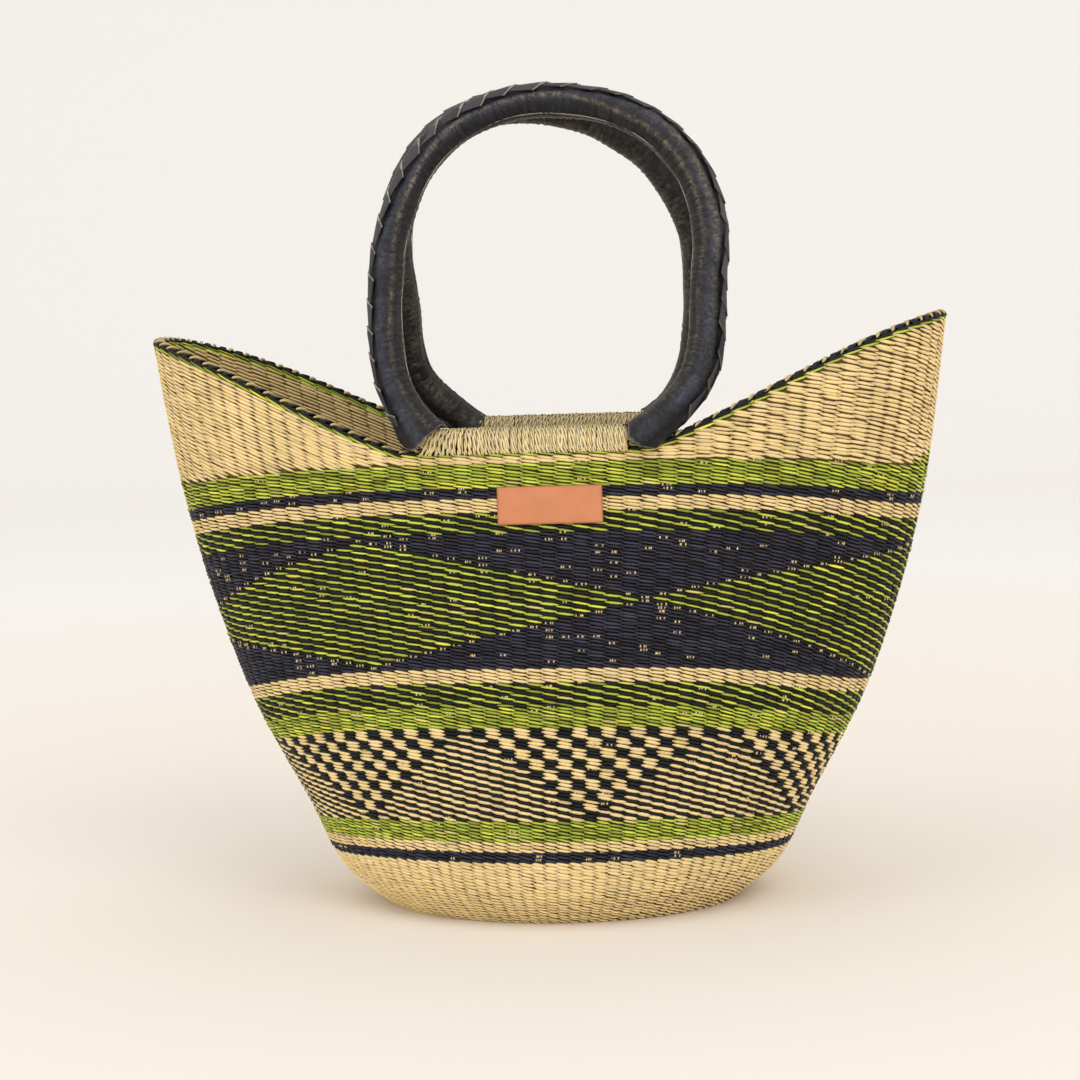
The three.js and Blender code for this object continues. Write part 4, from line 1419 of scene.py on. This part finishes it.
    def relief(self, run, turn, off, face, whole, settings, rng):
        """Radius and colour masks over the sleeve.

        The flap under the lacing stands proud and the leather dips on both its sides. Creases
        cross the grip, finest towards the inside of the ring, and a rubbed fold and the cut
        edge of the leather run along it. The masks are painted sheen, wear and bare edge:
        painted sheen down the middle of the seen face and on crease ridges, and painted shade
        in the dips beside the flap and just past the cut edge, which takes sheen and wear away.
        """
        beside = np.abs(off) - self.FLAP_HALF
        flap = 1 - smoothstep(beside, -0.08, 0.1)
        dip = peak(beside, 0.3, 0.18)
        dents = waves(run, off, rng, 9, 30, 140, 0.42)
        creases = waves(run, 2 * off, rng, 18, 3.0, 8.0, 0.15)
        inner = smoothstep(np.cos(off), 0.3, -0.6)
        line = edge_line(run, turn)
        fold_at = 1.98 - 0.42 * peak(turn, 180, 28) + 0.09 * np.sin(run / 31) + 0.05 * np.sin(run / 11.3)
        fold = peak(face, fold_at, 0.15)
        step = smoothstep(face, line + 0.12, line - 0.05)
        from_end = np.minimum(run, whole - run)
        ends = np.clip(1 - from_end / 45, 0, 1) ** 2
        flare = (0.4 + 1.3 * peak(face, 1.75, 0.6)) * ends
        mouth = np.where(run > whole / 2, self.flare(whole - run, face, self.LAST_FLARE),
                         self.flare(run, face, self.FIRST_FLARE))
        fuller = 0.8 * ((1 + np.cos(face)) / 2) ** 2 * np.clip(1 - run / 70, 0, 1)
        radius = settings.radius - 0.45 + flare + mouth + fuller + dents * (1 - 0.6 * flap)
        radius = radius + creases * (0.4 + 0.8 * inner) + 0.5 * flap - 0.6 * dip + 0.25 * fold + 0.5 * step
        # Painted sheen: a band down the middle of the seen face, clear of the seam, and the crease ridges
        middle = peak(face, np.maximum(fold_at - 0.62, 0.96 - seam_line(turn)), 0.36)
        sheen = np.clip(0.12 + 0.88 * middle + 1.1 * creases, 0, 1)
        # Painted shade: darker in the dips beside the flap and just past the cut edge, where sheen and wear
        # are taken away
        dark = (1 - 0.9 * dip) * (1 - 0.85 * peak(face, line + 0.2, 0.16))
        busy = 0.3 + 0.7 * peak(turn, 222, 72) + 0.55 * peak(turn, 120, 32)
        second = peak(face, 1.12, 0.24) * peak(turn, 112, 30)
        far = 0.45 * peak(face, 4.2, 0.5)
        worn = np.clip((fold * busy + second + far + 0.1 * inner) * dark, 0, 1)
        return radius, np.stack([sheen * dark, worn, np.zeros_like(worn)], -1)


class BEACHBAG_OT_lacing(bpy.types.Operator):
    """Lace the seam of each sleeve with a flat thong, stitch by stitch"""

    bl_idname = "beachbag.lacing"
    bl_label = "Lacing"

    # Rows of lacing: angles from the seam, where a scale starts and how high it lies
    ROWS = ((-0.75, 0.1, -0.3, -0.3), (0.0, 0.76, 0.0, 0.0))

    # Stations of a scale along and across it, and those of its sunk far side
    ALONG = np.array([0, 0.05, 0.3, 0.55, 0.8, 1])
    ACROSS = np.array([1, 0.93, 0.62, 0.34, 0.07, 0])
    BELOW = np.array([0.04, 0.5, 0.96])

    # Where the sleeve's raw edge starts, and how far before the far end it stops
    EDGE_FROM, EDGE_SHORT = 42, 6

    def execute(self, context):
        for index, (name, handle) in enumerate(HANDLES.items()):
            bundle = Bundle(190 + index)
            self.lace(bundle, name, handle)
            bundle.finish(f"{name}_thong", self.thong(), name, [f"{name}_lacing"], "lacing_leather")
        return {"FINISHED"}

    def thong(self):
        return material_of("leather_thong", straw_material, FIBRE, 0.6, 0.00008)

    def lace(self, bundle, name, handle):
        """Two rows of overlapping flat scales along the seam, and the sleeve's raw edge."""
        settings = bpy.context.scene.bag_leather
        fine, whole = even_turns(2001, LEATHER_START, 360 - LEATHER_START, handle)
        length = np.linspace(0, whole, 2001)
        bar = bar_of(name)

        def on_grip(run, across, lift):
            """Points by length along the ring, angle from the seam and height over the grip."""
            turn = np.interp(run, length, fine)
            at = tube(turn, seam_line(turn) - across, settings.radius + lift, handle)
            return place_handle(at, handle, bar)

        for row in self.ROWS:
            self.scales(bundle, on_grip, whole, row)
        run = np.linspace(self.EDGE_FROM, whole - self.EDGE_SHORT, 240)[None]
        turn = np.interp(run, length, fine)
        lift = -0.15 + 0.1 * np.sin(run / 4.1) + 0.1 * np.sin(run / 9.7)
        across = edge_line(run, turn) + seam_line(turn)
        edge = on_grip(run, across, lift)
        middle = place_handle(ring_line(turn, handle)[0], handle, bar)
        bundle.add(edge, edge - middle, 0.3, 0.3, 8, 0.75 * np.array([settings.raw]), 0.3)

    def scales(self, bundle, on_grip, whole, row):
        """One row of scales.

        Along a scale s goes from 0 to 1 and across it w does. Its first edge is a slanted S that
        stands proud, with the pale cut in sight. From there it narrows, sinks under the next
        scale, and stays straight where the ring bends.
        """
        settings = bpy.context.scene.bag_leather
        rng = bundle.rng
        low, high, start, base = row
        raw, face = np.array(settings.raw), np.array(settings.thong)
        count = settings.stitches - 2
        pitch = whole / settings.stitches
        s = self.ALONG[None, :, None]
        w = np.concatenate([self.ACROSS, self.BELOW])[None, None]
        jitter = rng.standard_normal((4, count, 1, 1))
        first = (np.arange(count)[:, None, None] + 1.25 + start + 0.04 * jitter[0]) * pitch
        slant = 8.5 * w + 0.9 * np.sin(2 * math.pi * w)
        run = np.minimum(first + slant * (1 - 0.6 * s) + 1.22 * pitch * s, whole - 15 + 2 * s)
        across = low + (high - low) * w * (1 - 0.42 * s + 0.06 * jitter[1])
        proud = 1.45 - 0.85 * s - 1.0 * s * (1 - s) + 0.1 * jitter[2]
        sunk = np.concatenate([np.zeros(len(self.ACROSS)), np.ones(len(self.BELOW))])
        rings = on_grip(run, across, base + proud - 1.0 * sunk)
        ends = np.stack([rings[:, 0].mean(1), rings[:, -1].mean(1)], 1)
        shade = np.clip(1 + 0.22 * jitter[3], 0.5, 1.6)[..., None]
        bare = rng.random((count, 1, 1, 1)) * 0.35 + 0.65
        bare = bare * (0.35 + 0.65 * smoothstep(first / whole, 0.4, 0.56))[..., None]
        edge = np.zeros((len(self.ALONG), len(w[0, 0]), 1))
        edge[0] = 1
        edge[:, w[0, 0] < 0.05] = 0.55
        edge[1:, self.ACROSS.size - 2: self.ACROSS.size] *= 0.6
        tint = face * shade * (1 - edge) + raw * bare * edge
        pale = np.broadcast_to(raw * bare, (count, 1, rings.shape[2], 3))
        tint = np.concatenate([pale, tint, tint[:, -1:]], 1)
        steps = np.concatenate([[0], self.ALONG, [1]])[None] * pitch + np.zeros((count, 1))
        section = np.broadcast_to(np.stack([3 * w, np.zeros_like(w)], -1), rings.shape[:-1] + (2,))
        bundle.add_rings(ends, rings, steps, section, tint, np.zeros(rings.shape[:-1]))


class BEACHBAG_OT_grass_core(bpy.types.Operator):
    """Bundle grass along each bar and up into the ends of the leather"""

    bl_idname = "beachbag.grass_core"
    bl_label = "Grass Core"

    STRANDS, CURVED, STRAIGHT = 34, 16, 9

    def execute(self, context):
        for index, (name, handle) in enumerate(HANDLES.items()):
            bundle = Bundle(200 + index)
            self.fill(bundle, handle, bar_of(name))
            bundle.finish(f"{name}_grass", straw(), name, [f"{name}_core"], "handle_grass")
        return {"FINISHED"}

    def fill(self, bundle, handle, bar):
        """Strands in two rings round the middle line, tight on the bar and spread in the leather."""
        rng = bundle.rng
        right = np.linspace(LEATHER_START + 12, 0, self.CURVED)
        at_right, out_right = ring_line(right, handle)
        at_left, out_left = ring_line(360 - right[::-1], handle)
        t = np.linspace(0, 1, self.STRAIGHT + 2)[1:-1, None]
        at = np.concatenate([at_right, at_right[-1] * (1 - t) + at_left[0] * t, at_left])
        out = np.concatenate([out_right, np.repeat(out_right[-1:], self.STRAIGHT, 0), out_left])
        from_bar = np.concatenate([right, np.zeros(self.STRAIGHT), right[::-1]])
        strand = np.arange(self.STRANDS)[:, None]
        ring = strand % 2
        around = 2 * math.pi * strand / self.STRANDS * 2 + 0.3 * rng.standard_normal(strand.shape)
        spread = smoothstep(from_bar, 18, LEATHER_START + 8)
        radius = (1.0 + 1.5 * ring) * (1 - spread) + (3.2 + 4.4 * ring) * spread
        angle = around + 0.5 * np.sin(np.linspace(0, 9, len(from_bar)))
        side = np.array([0.0, 1.0, 0.0])
        away = out * np.cos(angle)[..., None] + side * np.sin(angle)[..., None]
        path = place_handle(at + away * radius[..., None], handle, bar)
        outward = path - place_handle(at, handle, bar)
        colour = tints(np.full(self.STRANDS, NATURAL), rng) * 0.9
        size = 0.8 + 0.5 * spread
        bundle.add(path, outward, size, size, 6, colour, 0.6)


class BEACHBAG_OT_patch(bpy.types.Operator):
    """Cut the small leather patch on the front, bare and bent to the wall"""

    bl_idname = "beachbag.patch"
    bl_label = "Leather Patch"

    WIDTH, HEIGHT, MIDDLE_X, MIDDLE_Z = 60.3, 21.8, 15, 244.5
    LIFT, THICKNESS = 0.85, 1.3

    def execute(self, context):
        """Two faces by x and z; the front one rounds off towards its edge."""
        columns, rows = 72, 28
        u = np.linspace(-1, 1, columns)[None]
        v = np.linspace(-1, 1, rows)[:, None]
        edge = np.minimum((1 - np.abs(u)) * self.WIDTH / 2, (1 - np.abs(v)) * self.HEIGHT / 2)
        round_edge = 1 - np.exp(-edge / 0.35)
        x, z = np.broadcast_arrays(self.MIDDLE_X + self.WIDTH / 2 * u, self.MIDDLE_Z + self.HEIGHT / 2 * v)
        front = self.on_front(x, z, self.LIFT + self.THICKNESS * (0.55 + 0.45 * round_edge))
        back = self.on_front(x, z, self.LIFT)
        points = np.concatenate([front.reshape(-1, 3), back.reshape(-1, 3)])
        size = rows * columns
        front_faces = grid_faces(rows, columns, 0, wrap=False)
        back_faces = grid_faces(rows, columns, size, wrap=False)[:, ::-1]
        index = np.arange(size).reshape(rows, columns)
        loop = np.concatenate([index[0, :-1], index[:-1, -1], index[-1, :0:-1], index[:0:-1, 0]])
        after = np.roll(loop, -1)
        sides = np.stack([loop, loop + size, after + size, after], -1)
        box = np.stack(np.broadcast_arrays((u + 1) / 2, (v + 1) / 2), -1).reshape(-1, 2) * np.array([1, 0.45])
        where = np.concatenate([box, box + np.array([0, 0.5])])
        faces = [front_faces, back_faces, sides]
        tint = np.concatenate([np.exp(-edge / 0.5).ravel(), np.ones(size)])[:, None] * np.ones(3)
        tan = material_of("bare_patch", patch_material, GRAIN)
        make_piece("label_patch_leather", points, faces, [where[f] for f in faces], tan, "bag",
                   ["label_patch"], tint)
        return {"FINISHED"}

    def on_front(self, x, z, lift):
        """Point of the front wall over x and z, moved out along the wall's normal."""
        share = np.full_like(x, 0.75)
        for _ in range(12):
            here = on_wall(share, z)[..., 0]
            step = on_wall(share + 1e-3, z)[..., 0] - here
            share = share + (x - here) / step * 1e-3
        return wall_frame(share, z, lift)[0]


# Stage

EYE = (231.56, -1460.89, 347.09)
YAW, PITCH, ROLL = math.radians(9.25), math.radians(5.05), math.radians(2.05)
FOCAL_PIXELS, PICTURE_PIXELS, SENSOR = 2446.35, 1080, 36.0
BACKDROP_TINT = (0.035, 0.08, 0.13)


class BEACHBAG_OT_stage(bpy.types.Operator):
    """Set the pale floor, the camera and the soft light"""

    bl_idname = "beachbag.stage"
    bl_label = "Stage"

    def execute(self, context):
        self.camera(context.scene)
        self.floor(context.scene.bag_stage)
        self.light(context.scene)
        return {"FINISHED"}

    def camera(self, scene):
        """Looks along yaw and pitch, rolled about its own axis."""
        flat = math.cos(PITCH)
        forward = Vector((-math.sin(YAW) * flat, math.cos(YAW) * flat, -math.sin(PITCH)))
        level = Vector((math.cos(YAW), math.sin(YAW), 0))
        up = level.cross(forward)
        right = level * math.cos(ROLL) - up * math.sin(ROLL)
        top = level * math.sin(ROLL) + up * math.cos(ROLL)
        data = bpy.data.cameras.new("camera")
        data.sensor_width = SENSOR
        data.lens = FOCAL_PIXELS / PICTURE_PIXELS * SENSOR
        data.clip_end = 100
        camera = bpy.data.objects.new("camera", data)
        turn = Matrix((right, top, -forward)).transposed().to_4x4()
        camera.matrix_world = Matrix.Translation(Vector(EYE) * MM) @ turn
        scene.collection.objects.link(camera)
        scene.camera = camera

    def floor(self, stage):
        """A floor that sweeps up behind the bag in a quarter of a circle, cooler as it rises."""
        bend, back, front, wide, tall = 2.2, 3.4, 9.0, 10.0, 7.0
        turn = np.linspace(0, math.pi / 2, 25)
        curve = turn[1:]
        y = np.concatenate([[-front], np.linspace(-2, back, 12), back + bend * np.sin(curve), [back + bend]])
        z = np.concatenate([np.zeros(13), bend * (1 - np.cos(curve)), [tall]])
        x = np.linspace(-wide, wide, 21)
        points = np.stack(np.broadcast_arrays(x[None], y[:, None], z[:, None]), -1).reshape(-1, 3)
        faces = grid_faces(len(y), len(x), 0, wrap=False)
        mesh = bpy.data.meshes.new("floor")
        mesh.from_pydata(points.tolist(), [], faces.tolist())
        mesh.polygons.foreach_set("use_smooth", np.ones(len(mesh.polygons), bool))
        material, n, shader = new_material("floor", 0.1)
        shader["Base Color"].default_value = (*stage.floor, 1)
        shader["Roughness"].default_value = 0.9
        shader["Emission Strength"].default_value = 1.0
        far = n.add("ShaderNodeVectorMath", operation="LENGTH")
        n.join(n.place(), far.inputs[0])
        seen = n.add("ShaderNodeLightPath").outputs["Is Camera Ray"]
        seen = n.math("MULTIPLY", n.remap(far.outputs["Value"], 0.5, 1.9), seen)
        n.join(n.mix(seen, (0.0, 0.0, 0.0), BACKDROP_TINT), shader["Emission Color"])
        mesh.materials.append(material)
        floor = bpy.data.objects.new("floor", mesh)
        bpy.context.scene.collection.objects.link(floor)

    def light(self, scene):
        stage = scene.bag_stage
        world = bpy.data.worlds.new("world")
        world.use_nodes = True
        background = world.node_tree.nodes["Background"]
        background.inputs["Color"].default_value = (1.0, 0.985, 0.965, 1)
        background.inputs["Strength"].default_value = stage.world
        scene.world = world
        for name, place, size, power in (
            ("key", (1.7, -2.3, 2.5), 2.8, stage.key),
            ("fill", (-2.4, -1.9, 1.7), 2.4, 0.45 * stage.key),
        ):
            data = bpy.data.lights.new(name, "AREA")
            data.shape = "DISK"
            data.size = size
            data.energy = power
            lamp = bpy.data.objects.new(name, data)
            lamp.location = place
            aim = Vector((0, 0, 0.2)) - Vector(place)
            lamp.rotation_euler = aim.to_track_quat("-Z", "Y").to_euler()
            scene.collection.objects.link(lamp)
        scene.view_settings.view_transform = "Standard"


OPERATORS = (
    BEACHBAG_OT_stage,
    BEACHBAG_OT_woven_bands,
    BEACHBAG_OT_wings,
    BEACHBAG_OT_inside,
    BEACHBAG_OT_stake_wall,
    BEACHBAG_OT_base,
    BEACHBAG_OT_rim_border,
    BEACHBAG_OT_lashings,
    BEACHBAG_OT_grass_core,
    BEACHBAG_OT_leather,
    BEACHBAG_OT_lacing,
    BEACHBAG_OT_patch,
)


class BEACHBAG_PT_panel(bpy.types.Panel):
    """Settings and steps of the bag"""

    bl_label = "Beach Bag"
    bl_idname = "BEACHBAG_PT_panel"
    bl_space_type = "VIEW_3D"
    bl_region_type = "UI"
    bl_category = "Beach Bag"

    def draw(self, context):
        layout = self.layout
        for settings in (context.scene.bag_straw, context.scene.bag_leather, context.scene.bag_stage):
            box = layout.box()
            for name in settings.bl_rna.properties.keys():
                if name not in ("rna_type", "name"):
                    box.prop(settings, name)
        for operator in OPERATORS:
            layout.operator(operator.bl_idname)


CLASSES = (StrawSettings, LeatherSettings, StageSettings, *OPERATORS, BEACHBAG_PT_panel)


def register():
    for cls in CLASSES:
        bpy.utils.register_class(cls)
    bpy.types.Scene.bag_straw = PointerProperty(type=StrawSettings)
    bpy.types.Scene.bag_leather = PointerProperty(type=LeatherSettings)
    bpy.types.Scene.bag_stage = PointerProperty(type=StageSettings)


def unregister():
    del bpy.types.Scene.bag_stage
    del bpy.types.Scene.bag_leather
    del bpy.types.Scene.bag_straw
    for cls in reversed(CLASSES):
        bpy.utils.unregister_class(cls)


def main():
    register()
    for operator in OPERATORS:
        group, name = operator.bl_idname.split(".")
        getattr(getattr(bpy.ops, group), name)()


if __name__ == "__main__":
    main()
